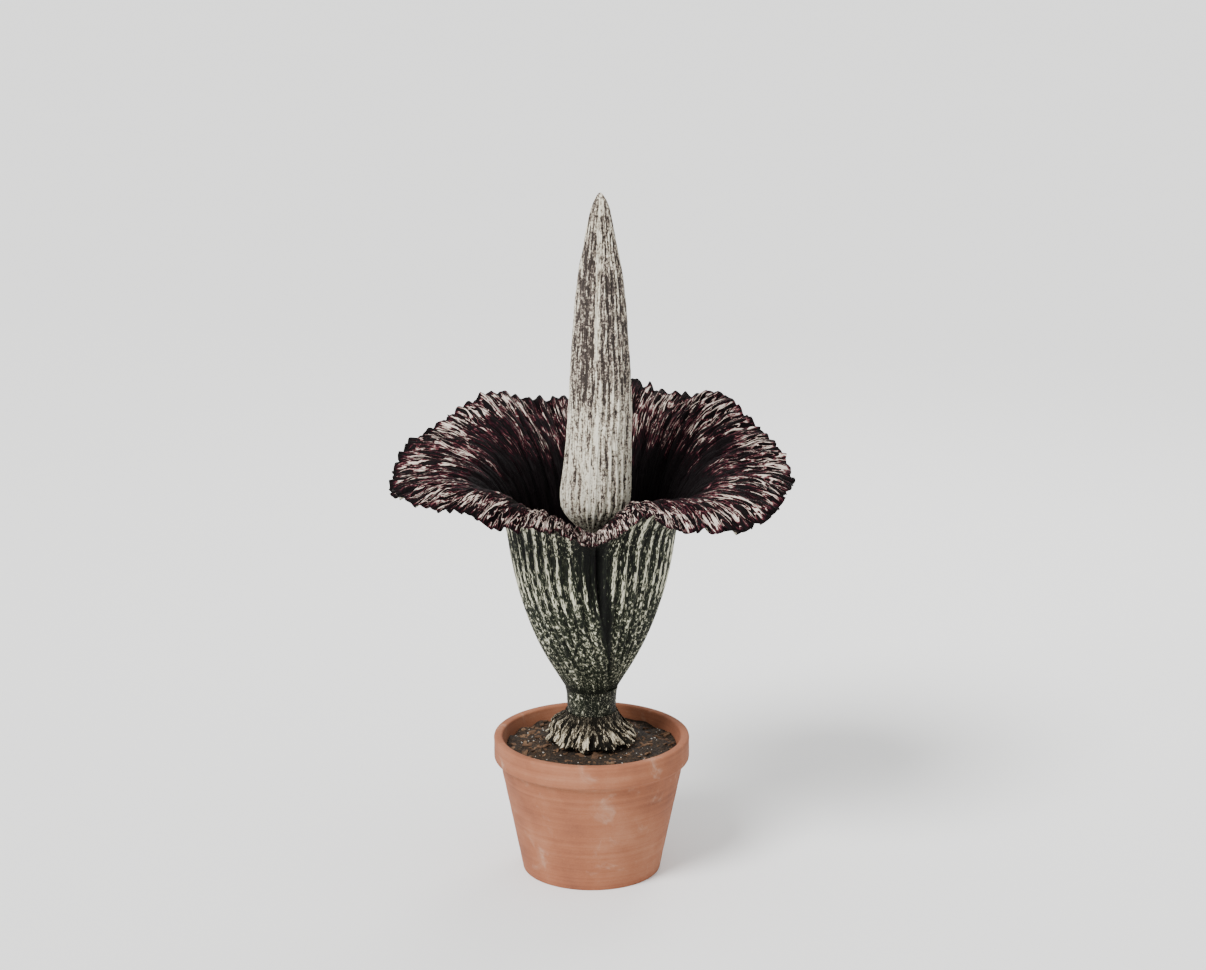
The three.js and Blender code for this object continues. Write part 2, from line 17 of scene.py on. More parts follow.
import bmesh
import bpy
import numpy as np
from mathutils import Matrix, Vector, noise

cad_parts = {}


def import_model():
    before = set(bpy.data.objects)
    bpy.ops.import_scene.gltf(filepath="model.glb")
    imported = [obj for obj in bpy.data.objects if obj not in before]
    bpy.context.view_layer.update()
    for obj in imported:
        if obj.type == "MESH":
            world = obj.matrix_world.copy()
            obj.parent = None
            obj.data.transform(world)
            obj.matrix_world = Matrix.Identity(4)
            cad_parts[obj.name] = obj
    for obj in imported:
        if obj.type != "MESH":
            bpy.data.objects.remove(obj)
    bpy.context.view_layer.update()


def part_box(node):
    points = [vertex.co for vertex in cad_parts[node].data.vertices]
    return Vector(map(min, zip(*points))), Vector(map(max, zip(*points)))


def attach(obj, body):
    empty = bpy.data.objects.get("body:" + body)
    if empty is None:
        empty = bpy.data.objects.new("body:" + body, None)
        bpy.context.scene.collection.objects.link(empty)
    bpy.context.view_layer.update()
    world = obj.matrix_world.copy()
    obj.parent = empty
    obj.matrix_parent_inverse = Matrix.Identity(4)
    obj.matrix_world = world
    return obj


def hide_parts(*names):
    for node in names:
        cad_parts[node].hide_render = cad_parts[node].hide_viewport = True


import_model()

Array = np.ndarray
Pair = tuple[float, float]
Triple = tuple[float, float, float]
Colour = Triple
Piece = bpy.types.Object
Socket = bpy.types.NodeSocket
Relief = Callable[["Skin"], Array]
Spot = tuple[int, Matrix]

MM = 0.001
FULL_TURN = 360.0
# The foot and the throat of the spathe are above the soil line, which is above the pot's underside.
SPATHE_FOOT = 182.0
THROAT = 656.0
SOIL_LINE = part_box("spathe")[0].z / MM - SPATHE_FOOT
# The gap between a piece and what carries it.
SEAT = 0.3

log = logging.getLogger("potted_titan_arum")


class Slot(Enum):
    """The material slots."""

    TERRACOTTA = "terracotta"
    SOIL = "potting_soil"
    TUBER = "tuber_skin"
    STALK = "mottled_stalk"
    SHEATH = "dry_sheath"
    SPATHE = "spathe"
    PISTILLATE = "pistillate"
    STAMINATE = "staminate"
    SPADIX = "spadix"


def ramp(x: Array | float, start: Array | float, end: Array | float) -> Array:
    """Rise smoothly from 0 at start to 1 at end."""
    share = np.clip((np.asarray(x, float) - start) / (end - start), 0, 1)
    return share * share * (3 - 2 * share)


def swell(x: Array, start: float, full: float, fading: float, end: float) -> Array:
    """Rise smoothly from 0 at start to 1 at full, and fall back to 0 from fading to end."""
    return ramp(x, start, full) * (1 - ramp(x, fading, end))


def mix(low: Array | float, high: Array | float, share: Array | float) -> Array:
    """Return the value that lies at a share of the way from low to high."""
    return low + (high - low) * share


def wave(x: Array) -> Array:
    """Return a round wave of period 1, which is 1 at whole numbers and -1 halfway between."""
    return np.cos(2 * math.pi * x)


def rib(x: Array, sharpness: float = 2.6) -> Array:
    """Return broad round ribs at whole numbers, 1 on their crests, with narrow furrows between."""
    return 1 - 2 * np.abs(np.sin(math.pi * x)) ** sharpness


def rough(*axes: Array | float, octaves: int = 3) -> Array:
    """Read smooth noise, of about -1 to 1, at up to three coordinates in units of about one lump."""
    where = np.stack(np.broadcast_arrays(*axes, *[0.5] * (3 - len(axes))), axis=-1)
    return np.array([noise.fractal(point, 1.0, 2.0, octaves) for point in where.tolist()])


def polar(radius: Array, degrees: Array, height: Array) -> Array:
    """Return points in millimetres from a radius, degrees from the front, and a height."""
    angle = np.radians(degrees)
    return np.stack([radius * np.sin(angle), -radius * np.cos(angle), height], axis=-1)


def past(degrees: Array, middle: Array | float) -> Array:
    """Return how far round the axis angles lie past a middle one, from -180 to 180."""
    return np.mod(degrees - middle + 180, FULL_TURN) - 180


def aside(directions: Array) -> Array:
    """Return plane directions of radius and height, turned a quarter turn outwards from up."""
    return np.stack([directions[:, 1], -directions[:, 0]], axis=1)


def bezier(controls: Sequence[Array | Pair], share: Array) -> tuple[Array, Array]:
    """Follow plane cubic curves.

    Args:
        controls: The four control points, each of shape (2,) or (n, 2).
        share: How far along each curve, of shape (n,).

    Returns:
        The points and the unit tangents, both of shape (n, 2).
    """
    t = share[:, None]
    rest = 1 - t
    p0, p1, p2, p3 = (np.broadcast_to(np.asarray(p, float), (len(share), 2)) for p in controls)
    point = rest**3 * p0 + 3 * rest**2 * t * p1 + 3 * rest * t**2 * p2 + t**3 * p3
    slope = rest**2 * (p1 - p0) + 2 * rest * t * (p2 - p1) + t**2 * (p3 - p2)
    return point, slope / np.linalg.norm(slope, axis=1, keepdims=True)


def around(stations: Array, degrees: Array) -> Array:
    """Read a closed outline that runs smoothly through its stations.

    Args:
        stations: Rows of degrees and values, in order round the axis.
        degrees: Where to read it.

    Returns:
        The values at each angle, one row each.
    """
    angle = np.mod(degrees, FULL_TURN)
    first = np.searchsorted(stations[:, 0], angle, side="right") - 1
    turns, row = np.divmod(first + np.arange(-1, 3)[:, None], len(stations))
    b, s, e, a = (stations[row, 0] + FULL_TURN * turns)[:, :, None]
    before, start, end, after = stations[row, 1:]
    t = (angle[:, None] - s) / (e - s)
    leaving = (e - s) * (end - before) / (e - b)
    arriving = (e - s) * (after - start) / (a - s)
    return (start * (2 * t**3 - 3 * t**2 + 1) + leaving * (t**3 - 2 * t**2 + t)
            + end * (3 * t**2 - 2 * t**3) + arriving * (t**3 - t**2))


def rounded(corners: Sequence[Triple], steps: int = 5) -> list[Pair]:
    """Round the corners of an outline.

    Args:
        corners: Radius, height and the length that the rounding takes off each side.
        steps: Pieces in each round corner.

    Returns:
        The radii and heights of the rounded outline.
    """
    outline = []
    for i, (radius, height, rounding) in enumerate(corners):
        here = np.array([radius, height])
        if not rounding:
            outline.append((radius, height))
            continue
        ends = []
        for neighbour in (corners[i - 1], corners[i + 1]):
            way = np.array(neighbour[:2]) - here
            ends.append(here + way / np.linalg.norm(way) * rounding)
        for t in np.arange(steps + 1) / steps:
            point = (1 - t) ** 2 * ends[0] + 2 * t * (1 - t) * here + t**2 * ends[1]
            outline.append((float(point[0]), float(point[1])))
    return outline


def divided(outline: Sequence[Pair], spacing: float) -> Array:
    """Add points to an outline so that none lie much further apart than a spacing.

    Args:
        outline: Its radii and heights.
        spacing: The spacing.

    Returns:
        The divided outline.
    """
    points = [np.array(outline[0], float)]
    for target in np.array(outline[1:], float):
        start = points[-1]
        pieces = max(1, round(float(np.linalg.norm(target - start)) / spacing))
        points += [mix(start, target, (k + 1) / pieces) for k in range(pieces)]
    return np.array(points)


def choose(*pieces: Piece) -> None:
    """Select these objects alone.

    Args:
        pieces: The objects, the first of which becomes the active one.
    """
    bpy.ops.object.select_all(action="DESELECT")
    for piece in reversed(pieces):
        piece.select_set(True)
        bpy.context.view_layer.objects.active = piece


def primitive(name: str, add: Callable, **settings: object) -> Piece:
    """Add a primitive, and set its place into its mesh.

    Args:
        name: The new piece's name.
        add: The operator that adds it.
        settings: Its size and place.

    Returns:
        The piece.
    """
    choose()
    add(**settings)
    piece = bpy.context.active_object
    piece.name = piece.data.name = name
    bpy.ops.object.transform_apply(location=True, rotation=True, scale=True)
    return piece


@contextmanager
def editing(piece: Piece, kind: str = "EDGE") -> Iterator[bmesh.types.BMesh]:
    """Open a piece in edit mode with nothing selected.

    Args:
        piece: The piece to edit.
        kind: What is selected there: VERT, EDGE or FACE.

    Yields:
        The mesh under edit.
    """
    choose(piece)
    bpy.ops.object.mode_set(mode="EDIT")
    bpy.ops.mesh.select_mode(type=kind)
    bpy.ops.mesh.select_all(action="DESELECT")
    yield bmesh.from_edit_mesh(piece.data)
    bpy.ops.object.mode_set(mode="OBJECT")


def grid(name: str, columns: int, rows: int) -> Piece:
    """Add a flat grid of faces, from 0 to 1 along X and Y."""
    return primitive(name, bpy.ops.mesh.primitive_grid_add, x_subdivisions=columns,
                     y_subdivisions=rows, size=1, location=(0.5, 0.5, 0))


def places(piece: Piece) -> Array:
    """Return a piece's vertices, one row each."""
    return np.array([vertex.co[:] for vertex in piece.data.vertices])


def reshape(piece: Piece, points: Array) -> None:
    """Move a piece's vertices to points given in millimetres."""
    piece.data.vertices.foreach_set("co", (points * MM).ravel())
    piece.data.update()


def record(piece: Piece, **kept: Array) -> None:
    """Keep numbers for the vertices of a piece, which its finish then reads by name.

    Args:
        piece: The piece.
        kept: One number for each vertex, or three, under each name.
    """
    for name, values in kept.items():
        kind, key = ("FLOAT_VECTOR", "vector") if values.ndim > 1 else ("FLOAT", "value")
        layer = piece.data.attributes.new(name, kind, "POINT")
        layer.data.foreach_set(key, values.astype(np.float32).ravel())


def spun(degrees: float, axis: str) -> Matrix:
    """Return a turn about an axis through the origin."""
    return Matrix.Rotation(math.radians(degrees), 4, axis)


def cut_along(piece: Piece, axis: int, cuts: int) -> None:
    """Cut the edges of a piece that run along an axis, all of them alike.

    Args:
        piece: The piece, one unit long.
        axis: The axis's number.
        cuts: The number of cuts in each.
    """
    with editing(piece) as mesh:
        for edge in mesh.edges:
            edge.select_set(abs(edge.verts[0].co[axis] - edge.verts[1].co[axis]) > 0.5)
        bpy.ops.mesh.subdivide(number_cuts=cuts)


def bevel_all(piece: Piece, width: float) -> None:
    """Bevel all the edges of a piece."""
    with editing(piece):
        bpy.ops.mesh.select_all(action="SELECT")
        bpy.ops.mesh.bevel(offset=width, segments=1)


@dataclass
class Skin:
    """The points of a turned piece, with its rows numbered from one pole to the other."""

    row: Array
    degrees: Array
    radius: Array
    height: Array


def turned(name: str, outline: Array, sides: int, relief: Relief | None = None,
           lift: Relief | None = None) -> Piece:
    """Turn an outline round the axis, in a column of level rows that a fan closes at each end.

    Args:
        name: The piece's name.
        outline: Radii and absolute heights, from one pole to the other.
        sides: Faces round it.
        relief: Gives how far each point stands out.
        lift: Gives how far it is raised.

    Returns:
        The closed piece.
    """
    last = len(outline) - 1
    piece = primitive(name, bpy.ops.mesh.primitive_cylinder_add, vertices=sides, radius=1, depth=1,
                      end_fill_type="TRIFAN", location=(0, 0, 0.5))
    cut_along(piece, 2, last - 1)
    x, y, z = places(piece).T
    row = np.rint(z * last).astype(int)
    skin = Skin(row, np.degrees(np.arctan2(x, -y)), *outline[row].T)
    out, up = (change(skin) if change else 0 for change in (relief, lift))
    share = np.hypot(x, y)
    reshape(piece, polar((skin.radius + out) * share, skin.degrees, skin.height + up * share))
    return piece


def apply_modifier(piece: Piece, kind: str, **settings: object) -> None:
    """Add a modifier to a piece, and apply it.

    Args:
        piece: The piece.
        kind: The modifier's type.
        settings: Its settings.
    """
    choose(piece)
    modifier = piece.modifiers.new(kind.lower(), kind)
    for key, value in settings.items():
        setattr(modifier, key, value)
    bpy.ops.object.modifier_apply(modifier=modifier.name)


def scattered(name: str, models: Sequence[Piece], spots: Sequence[Spot]) -> Piece:
    """Copy models to many spots, and join the copies in one piece.

    Args:
        name: The new piece's name.
        models: The modelled shapes, which are removed afterwards.
        spots: For each copy, the number of its model and where it goes.

    Returns:
        The piece that holds all the copies.
    """
    gathered = bmesh.new()
    for choice, matrix in spots:
        copy = models[choice].data.copy()
        copy.transform(matrix)
        gathered.from_mesh(copy)
        bpy.data.meshes.remove(copy)
    mesh = bpy.data.meshes.new(name)
    gathered.to_mesh(mesh)
    gathered.free()
    piece = bpy.data.objects.new(name, mesh)
    bpy.context.scene.collection.objects.link(piece)
    for model in models:
        bpy.data.objects.remove(model)
    return piece


def joined(parts: Sequence[Piece]) -> Piece:
    """Join parts in one piece.

    Args:
        parts: The parts.

    Returns:
        The first of them, which now holds them all.
    """
    choose(*parts)
    bpy.ops.object.join()
    return parts[0]


def dress(piece: Piece, finish: Finish | None, node: str = "",
          crease: float = 180) -> None:
    """Finish a piece: its shading, its finish, and what it stands for.

    Args:
        piece: The piece.
        finish: Its finish, or none where it already has its own.
        node: The solid that it replaces, if there is one.
        crease: Edges sharper than this many degrees stay sharp.
    """
    choose(piece)
    bpy.ops.object.shade_smooth_by_angle(angle=math.radians(crease))
    if finish:
        piece.data.materials.append(finish.material)
    if node:
        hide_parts(node)
    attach(piece, "root")
    triangles = sum(len(face.vertices) - 2 for face in piece.data.polygons)
    log.info("%s: %d triangles", piece.name, triangles)


class Finish:
    """A procedural material, which each kind of finish wires for itself, node by node."""

    name: str

    def __init__(self) -> None:
        """Start a material with only its shader and output, and wire it."""
        self.material = bpy.data.materials.new(self.name)
        self.material.use_nodes = True
        self.tree = self.material.node_tree
        self.wire()

    def wire(self) -> None:
        """Wire the material."""
        raise NotImplementedError

    def give(self, node: bpy.types.Node, inputs: dict[str | int, object]) -> bpy.types.Node:
        """Link sockets to a node's inputs, or set their values.

        Args:
            node: The node.
            inputs: Values or sockets, by the name or number of the input.

        Returns:
            The node.
        """
        for key, value in inputs.items():
            if isinstance(value, Socket):
                self.tree.links.new(value, node.inputs[key])
            else:
                node.inputs[key].default_value = value
        return node

    def add(self, kind: str, inputs: dict[str | int, object] | None = None,
            **settings: object) -> bpy.types.Node:
        """Add a node.

        Args:
            kind: The node's type, without its ShaderNode prefix.
            inputs: Values or sockets for its inputs.
            settings: The node's own settings.

        Returns:
            The node.
        """
        made = self.tree.nodes.new("ShaderNode" + kind)
        for key, value in settings.items():
            setattr(made, key, value)
        return self.give(made, inputs or {})

    def place(self, scale: Triple = (1, 1, 1)) -> Socket:
        """Return the object's own coordinates, scaled."""
        here = self.add("TexCoord").outputs["Object"]
        return self.add("Mapping", {"Vector": here, "Scale": scale}).outputs["Vector"]

    def value(self, name: str) -> Socket:
        """Return the number kept for the surface under a name."""
        return self.add("Attribute", attribute_name=name).outputs["Fac"]

    def lumps(self, where: Socket, scale: float, detail: float = 4, roughness: float = 0.55,
              distortion: float = 0) -> Socket:
        """Return smooth noise, from 0 to 1."""
        return self.add("TexNoise", {"Vector": where, "Scale": scale, "Detail": detail,
                                     "Roughness": roughness, "Distortion": distortion}).outputs["Fac"]

    def drift(self, across: float, along: float, detail: float, roughness: float = 0.55,
              distortion: float = 0) -> Socket:
        """Draw smooth noise on a sheet.

        Args:
            across: How often it changes in a unit across the sheet's flow.
            along: How often it changes in a unit along it.
            detail: The number of finer layers.
            roughness: How much each of them counts.
            distortion: How much it is bent.

        Returns:
            The noise, from 0 to 1.
        """
        flow = self.add("Attribute", attribute_name="flow").outputs["Vector"]
        here = self.add("Mapping", {"Vector": flow, "Scale": (across, along, 1)}).outputs["Vector"]
        return self.lumps(here, 1, detail, roughness, distortion)

    def strokes(self, across: float, along: float, width: float, distortion: float) -> Socket:
        """Return thin winding lines on a sheet, 1 along their middles and 0 between them."""
        off_middle = self.sum(-0.5, (1.0, self.drift(across, along, 2, 0.5, distortion)))
        return self.between(self.reckon("ABSOLUTE", off_middle), width, 0)

    def cells(self, where: Socket, scale: float) -> Socket:
        """Return the distance from the middle of the nearest cell."""
        return self.add("TexVoronoi", {"Vector": where, "Scale": scale}).outputs["Distance"]

    def reckon(self, operation: str, *values: Socket | float) -> Socket:
        """Work a number out from others."""
        return self.add("Math", dict(enumerate(values)), operation=operation).outputs[0]

    def sum(self, level: float, *terms: tuple[float, Socket]) -> Socket:
        """Add weighted numbers to a level.

        Args:
            level: The number that they are added to.
            terms: Each number's weight and socket.

        Returns:
            The total.
        """
        total: Socket | float = level
        for weight, socket in terms:
            total = self.reckon("MULTIPLY_ADD", socket, weight, total)
        return total

    def between(self, value: Socket, low: float, high: float, at_low: float = 0,
                at_high: float = 1) -> Socket:
        """Map a value smoothly from one range to another, and hold it at the ends."""
        return self.add("MapRange", {"Value": value, "From Min": low, "From Max": high,
                                     "To Min": at_low, "To Max": at_high},
                        interpolation_type="SMOOTHSTEP").outputs["Result"]

    def colours(self, value: Socket, *stops: tuple[float, Colour]) -> Socket:
        """Turn a value into colours.

        Args:
            value: The value.
            stops: Values and their colours, in rising order.

        Returns:
            The colour.
        """
        made = self.add("ValToRGB", {"Fac": value})
        bar = made.color_ramp.elements
        while len(bar) < len(stops):
            bar.new(1)
        for element, (position, colour) in zip(bar, stops):
            element.position = position
            element.color = (*colour, 1)
        return made.outputs["Color"]

    def blend(self, share: Socket, low: Socket | Colour, high: Socket | Colour) -> Socket:
        """Mix two colours, or two numbers, by a share."""
        low, high = (end if isinstance(end, Socket) else (*end, 1) for end in (low, high))
        return self.add("Mix", {"Factor": share, 6: low, 7: high}, data_type="RGBA").outputs[2]

    def shade(self, colour: Socket, roughness: Socket | float, height: Socket, depth: float,
              gloss: float) -> None:
        """Wire the shader.

        Args:
            colour: The base colour.
            roughness: The roughness.
            height: The height of the fine relief.
            depth: How deep the relief is, in metres, for a height of 1.
            gloss: The specular level.
        """
        bump = self.add("Bump", {"Height": height, "Distance": depth, "Strength": 1.0})
        self.give(self.tree.nodes["Principled BSDF"], {
            "Base Color": colour, "Roughness": roughness, "Normal": bump.outputs["Normal"],
            "Specular IOR Level": gloss})


class Terracotta(Finish):
    """Fired clay: warm and matt, with a chalky bloom in patches and fine open pores."""

    name = "terracotta"
    pale: Colour = (0.40, 0.185, 0.105)
    warm: Colour = (0.285, 0.105, 0.052)
    dark: Colour = (0.175, 0.060, 0.032)
    bloom: Colour = (0.47, 0.34, 0.26)

    def wire(self) -> None:
        """Wire clouds, turning marks, grit and pores, with chalk over them."""
        here = self.place()
        clouds = self.lumps(here, 5, 5)
        turning = self.lumps(self.place((0.6, 0.6, 34)), 3, 3)
        grit = self.lumps(here, 420, 3)
        pores = self.between(self.cells(here, 240), 0.05, 0.3)
        tone = self.sum(-0.17, (0.75, clouds), (0.28, turning), (0.30, grit))
        clay = self.colours(tone, (0.28, self.dark), (0.50, self.warm), (0.78, self.pale))
        chalk = self.lumps(here, 11, 7, 0.68, 0.6)
        crust = self.reckon("MULTIPLY", self.between(chalk, 0.54, 0.80), 0.55)
        roughness = self.between(chalk, 0.3, 0.7, 0.78, 0.94)
        height = self.sum(0, (0.5, grit), (0.35, pores), (0.6, turning))
        self.shade(self.blend(crust, clay, self.bloom), roughness, height, depth=0.0006, gloss=0.3)


class PottingSoil(Finish):
    """Moist peat and bark fines: near black, crumbly, with brown fibres."""

    name = "potting_soil"
    black: Colour = (0.008, 0.006, 0.0045)
    brown: Colour = (0.034, 0.021, 0.012)
    fibre: Colour = (0.105, 0.066, 0.036)

    def wire(self) -> None:
        """Wire crumbs and grit, damp in patches."""
        here = self.place()
        crumbs = self.cells(here, 150)
        grit = self.lumps(here, 210, 6, 0.7)
        damp = self.lumps(here, 9, 3)
        tone = self.sum(-0.42, (0.55, crumbs), (0.7, grit), (0.4, damp))
        colour = self.colours(tone, (0.18, self.black), (0.52, self.brown), (0.86, self.fibre))
        roughness = self.between(damp, 0.3, 0.7, 0.72, 0.97)
        height = self.sum(0, (1.1, crumbs), (0.9, grit))
        self.shade(colour, roughness, height, depth=0.004, gloss=0.25)


class Bark(Finish):
    """Chipped bark: brown and fibrous, paler where it broke."""

    name = "bark_chips"
    dark: Colour = (0.032, 0.017, 0.010)
    brown: Colour = (0.105, 0.055, 0.028)
    pale: Colour = (0.25, 0.155, 0.088)

    def wire(self) -> None:
        """Wire patches and fibres."""
        patches = self.lumps(self.place(), 42, 4)
        fibres = self.lumps(self.place((1, 3.5, 2)), 160, 5, 0.7)
        tone = self.sum(-0.3, (1.0, patches), (0.6, fibres))
        colour = self.colours(tone, (0.25, self.dark), (0.5, self.brown), (0.82, self.pale))
        self.shade(colour, 0.86, fibres, depth=0.0016, gloss=0.3)


class Perlite(Finish):
    """Puffed volcanic glass: off-white, chalky and pitted."""

    name = "perlite"
    white: Colour = (0.46, 0.44, 0.40)
    grey: Colour = (0.20, 0.18, 0.155)

    def wire(self) -> None:
        """Wire pits and dirt."""
        pits = self.cells(self.place(), 620)
        dirt = self.lumps(self.place(), 90, 4)
        tone = self.sum(0, (0.8, dirt), (0.25, pits))
        colour = self.colours(tone, (0.3, self.grey), (0.6, self.white))
        self.shade(colour, 0.92, pits, depth=0.0008, gloss=0.3)


class TuberSkin(Finish):
    """A corm's thin brown skin, ringed and scurfy, with pale root scars."""

    name = "tuber_skin"
    dark: Colour = (0.045, 0.026, 0.013)
    brown: Colour = (0.145, 0.085, 0.042)
    scar: Colour = (0.33, 0.23, 0.13)

    def wire(self) -> None:
        """Wire scurf and rings, with scars over them."""
        here = self.place()
        scurf = self.lumps(here, 60, 6, 0.65)
        rings = self.lumps(self.place((1, 1, 22)), 6, 4)
        scars = self.between(self.cells(here, 38), 0.16, 0.05)
        tone = self.sum(-0.1, (0.6, scurf), (0.6, rings))
        skin = self.colours(tone, (0.3, self.dark), (0.7, self.brown))
        height = self.sum(0, (1.0, rings), (0.5, scurf))
        self.shade(self.blend(scars, skin, self.scar), 0.85, height, depth=0.003, gloss=0.3)


class MottledStalk(Finish):
    """A fleshy dark green stalk, crowded with pale flecks of many sizes."""

    name = "mottled_stalk"
    deep: Colour = (0.0020, 0.0027, 0.0015)
    green: Colour = (0.0080, 0.0105, 0.0052)
    fleck: Colour = (0.66, 0.65, 0.49)

    def wire(self) -> None:
        """Wire clouds, with blotches and small specks over them."""
        tall = self.place((1, 1, 0.62))
        clouds = self.lumps(tall, 26, 4)
        skin = self.colours(clouds, (0.34, self.deep), (0.66, self.green))
        blotches = self.lumps(tall, 74, 5, 0.75, 0.8)
        size = self.lumps(tall, 60, 4, 0.7)
        spots = self.between(self.sum(-0.225, (1.0, blotches), (0.45, size)), 0.60, 0.65)
        dots = self.sum(0, (1.0, self.cells(tall, 300)), (-0.75, size))
        specks = self.reckon("MULTIPLY", self.between(dots, -0.06, -0.16), 0.35)
        marks = self.reckon("MAXIMUM", spots, specks)
        colour = self.blend(self.reckon("MULTIPLY", marks, 0.9), skin, self.fleck)
        creases = self.lumps(self.place((1, 1, 0.15)), 150, 4)
        roughness = self.between(clouds, 0.3, 0.7, 0.5, 0.66)
        height = self.sum(0, (0.6, creases), (0.25, marks), (0.4, clouds))
        self.shade(colour, roughness, height, depth=0.0024, gloss=0.14)


class DrySheath(Finish):
    """A withered sheath: papery, brown over dark green, with pale fibres fanning to its hem."""

    name = "dry_sheath"
    dark: Colour = (0.0065, 0.0055, 0.0035)
    brown: Colour = (0.060, 0.044, 0.024)
    pale: Colour = (0.66, 0.58, 0.43)

    def wire(self) -> None:
        """Wire fibres, threads and specks along the sheath, with painted highlights on the crests of the
        folds, painted shade between them and painted shade on the inner whorl.
        """
        fibres = self.strokes(0.17, 0.011, 0.075, 0.8)
        threads = self.strokes(0.42, 0.035, 0.085, 0.5)
        patches = self.drift(0.11, 0.02, 3)
        specks = self.drift(0.9, 0.28, 4, 0.75)
        # Painted highlights on the crests of the folds, painted shade between them, and painted shade
        # over the inner whorl.
        tone = self.sum(-1.11, (0.26, fibres), (0.28, threads), (1.5, specks), (0.7, patches),
                        (0.52, self.value("crest")), (0.06, self.value("hem")),
                        (-0.08, self.value("inner")))
        colour = self.colours(tone, (0.22, self.dark), (0.38, self.brown), (0.58, self.pale))
        height = self.sum(0, (0.7, fibres), (0.5, threads), (0.6, specks))
        self.shade(colour, 0.8, height, depth=0.003, gloss=0.12)


class SpatheInside(Finish):
    """The velvety inside of the bract: near black in the throat, partly its own deep maroon and partly
    painted shade, and streaked on its ridges outwards.
    """

    name = "spathe_inside"
    black: Colour = (0.0022, 0.0008, 0.0012)
    maroon: Colour = (0.026, 0.0035, 0.0085)
    rose: Colour = (0.15, 0.046, 0.052)
    cream: Colour = (0.72, 0.62, 0.53)

    def wire(self) -> None:
        """Wire strokes, hairs and flecks, which show outwards of the throat."""
        patches = self.drift(1.2, 2.2, 3, 0.5)
        long = self.strokes(5.4, 2.4, 0.052, 0.4)
        short = self.strokes(10, 6.5, 0.062, 0.4)
        hairs = self.drift(18, 16, 3, 0.7)
        flecks = self.drift(14, 62, 3, 0.7)
        # Painted shade: the strokes die away into the near black of the throat, which is partly the
        # sheet's own deep maroon.
        lit = self.sum(-0.70, (0.62, self.value("out")), (0.22, self.value("edge")),
                       # A painted highlight lightens the front of the rolled margin.
                       (0.16, self.value("lip")), (1.1, patches))
        lines = self.sum(-1.42, (0.78, long), (0.68, short), (1.5, hairs), (1.0, flecks))
        drawn = self.reckon("MULTIPLY", lines, self.between(lit, 0.10, 0.92))
        tone = self.sum(0, (1.0, drawn), (0.10, hairs))
        colour = self.colours(tone, (0.11, self.black), (0.24, self.maroon), (0.40, self.rose),
                              (0.58, self.cream))
        height = self.sum(0, (0.6, long), (0.5, short), (0.6, hairs), (0.35, flecks))
        self.shade(colour, 0.6, height, depth=0.0034, gloss=0.07)


class SpatheOutside(Finish):
    """The outside of the bract: dark green and plum under thin pale ribs, partly painted highlight,
    speckled lower down.
    """

    name = "spathe_outside"
    black: Colour = (0.0015, 0.0018, 0.0013)
    green: Colour = (0.015, 0.020, 0.010)
    plum: Colour = (0.032, 0.012, 0.015)
    cream: Colour = (0.60, 0.585, 0.44)

    def wire(self) -> None:
        """Wire thin ribs above and flecks below, with painted shade beside the lapping margin, under the
        limb and at the foot.
        """
        patches = self.drift(0.7, 2.6, 3)
        streaks = self.drift(2.6, 3.4, 4, 0.6, 0.4)
        threads = self.drift(8, 11, 4, 0.65)
        flecks = self.drift(3.6, 38, 5, 0.78)
        hairs = self.drift(10, 26, 3, 0.7)
        rise = self.between(self.sum(-0.45, (1.0, self.value("rise")), (0.9, streaks)), 0.25, 0.8)
        # Pale lines on the rib crests: partly the ribs' own pale colour and partly painted highlight.
        crest = self.sum(-1.2, (1.0, self.value("crest")), (1.5, streaks), (0.9, threads))
        line = self.between(crest, 0.5, 1.15)
        ribbed = self.sum(-2.08, (0.36, line), (0.85, threads), (0.6, streaks), (2.4, hairs),
                          (0.9, flecks))
        mottled = self.sum(-1.74, (2.6, flecks), (0.6, patches), (0.08, line), (0.9, hairs))
        # Painted shade darkens the groove beside the lapping margin, the band under the limb and the
        # foot.
        tone = self.sum(0, (1.0, self.blend(rise, mottled, ribbed)), (-0.34, self.value("fold")),
                        # A painted highlight lightens the front of the rolled margin.
                        (0.14, self.value("lip")))
        outer = self.reckon("MULTIPLY", self.value("out"), 0.8)
        skin = self.blend(outer, self.green, self.plum)
        dark = self.blend(self.between(tone, 0.08, 0.42), self.black, skin)
        colour = self.blend(self.between(tone, 0.43, 0.69), dark, self.cream)
        roughness = self.between(streaks, 0.3, 0.7, 0.66, 0.5)
        height = self.sum(0, (0.8, streaks), (0.6, threads), (0.4, flecks))
        self.shade(colour, roughness, height, depth=0.0032, gloss=0.13)


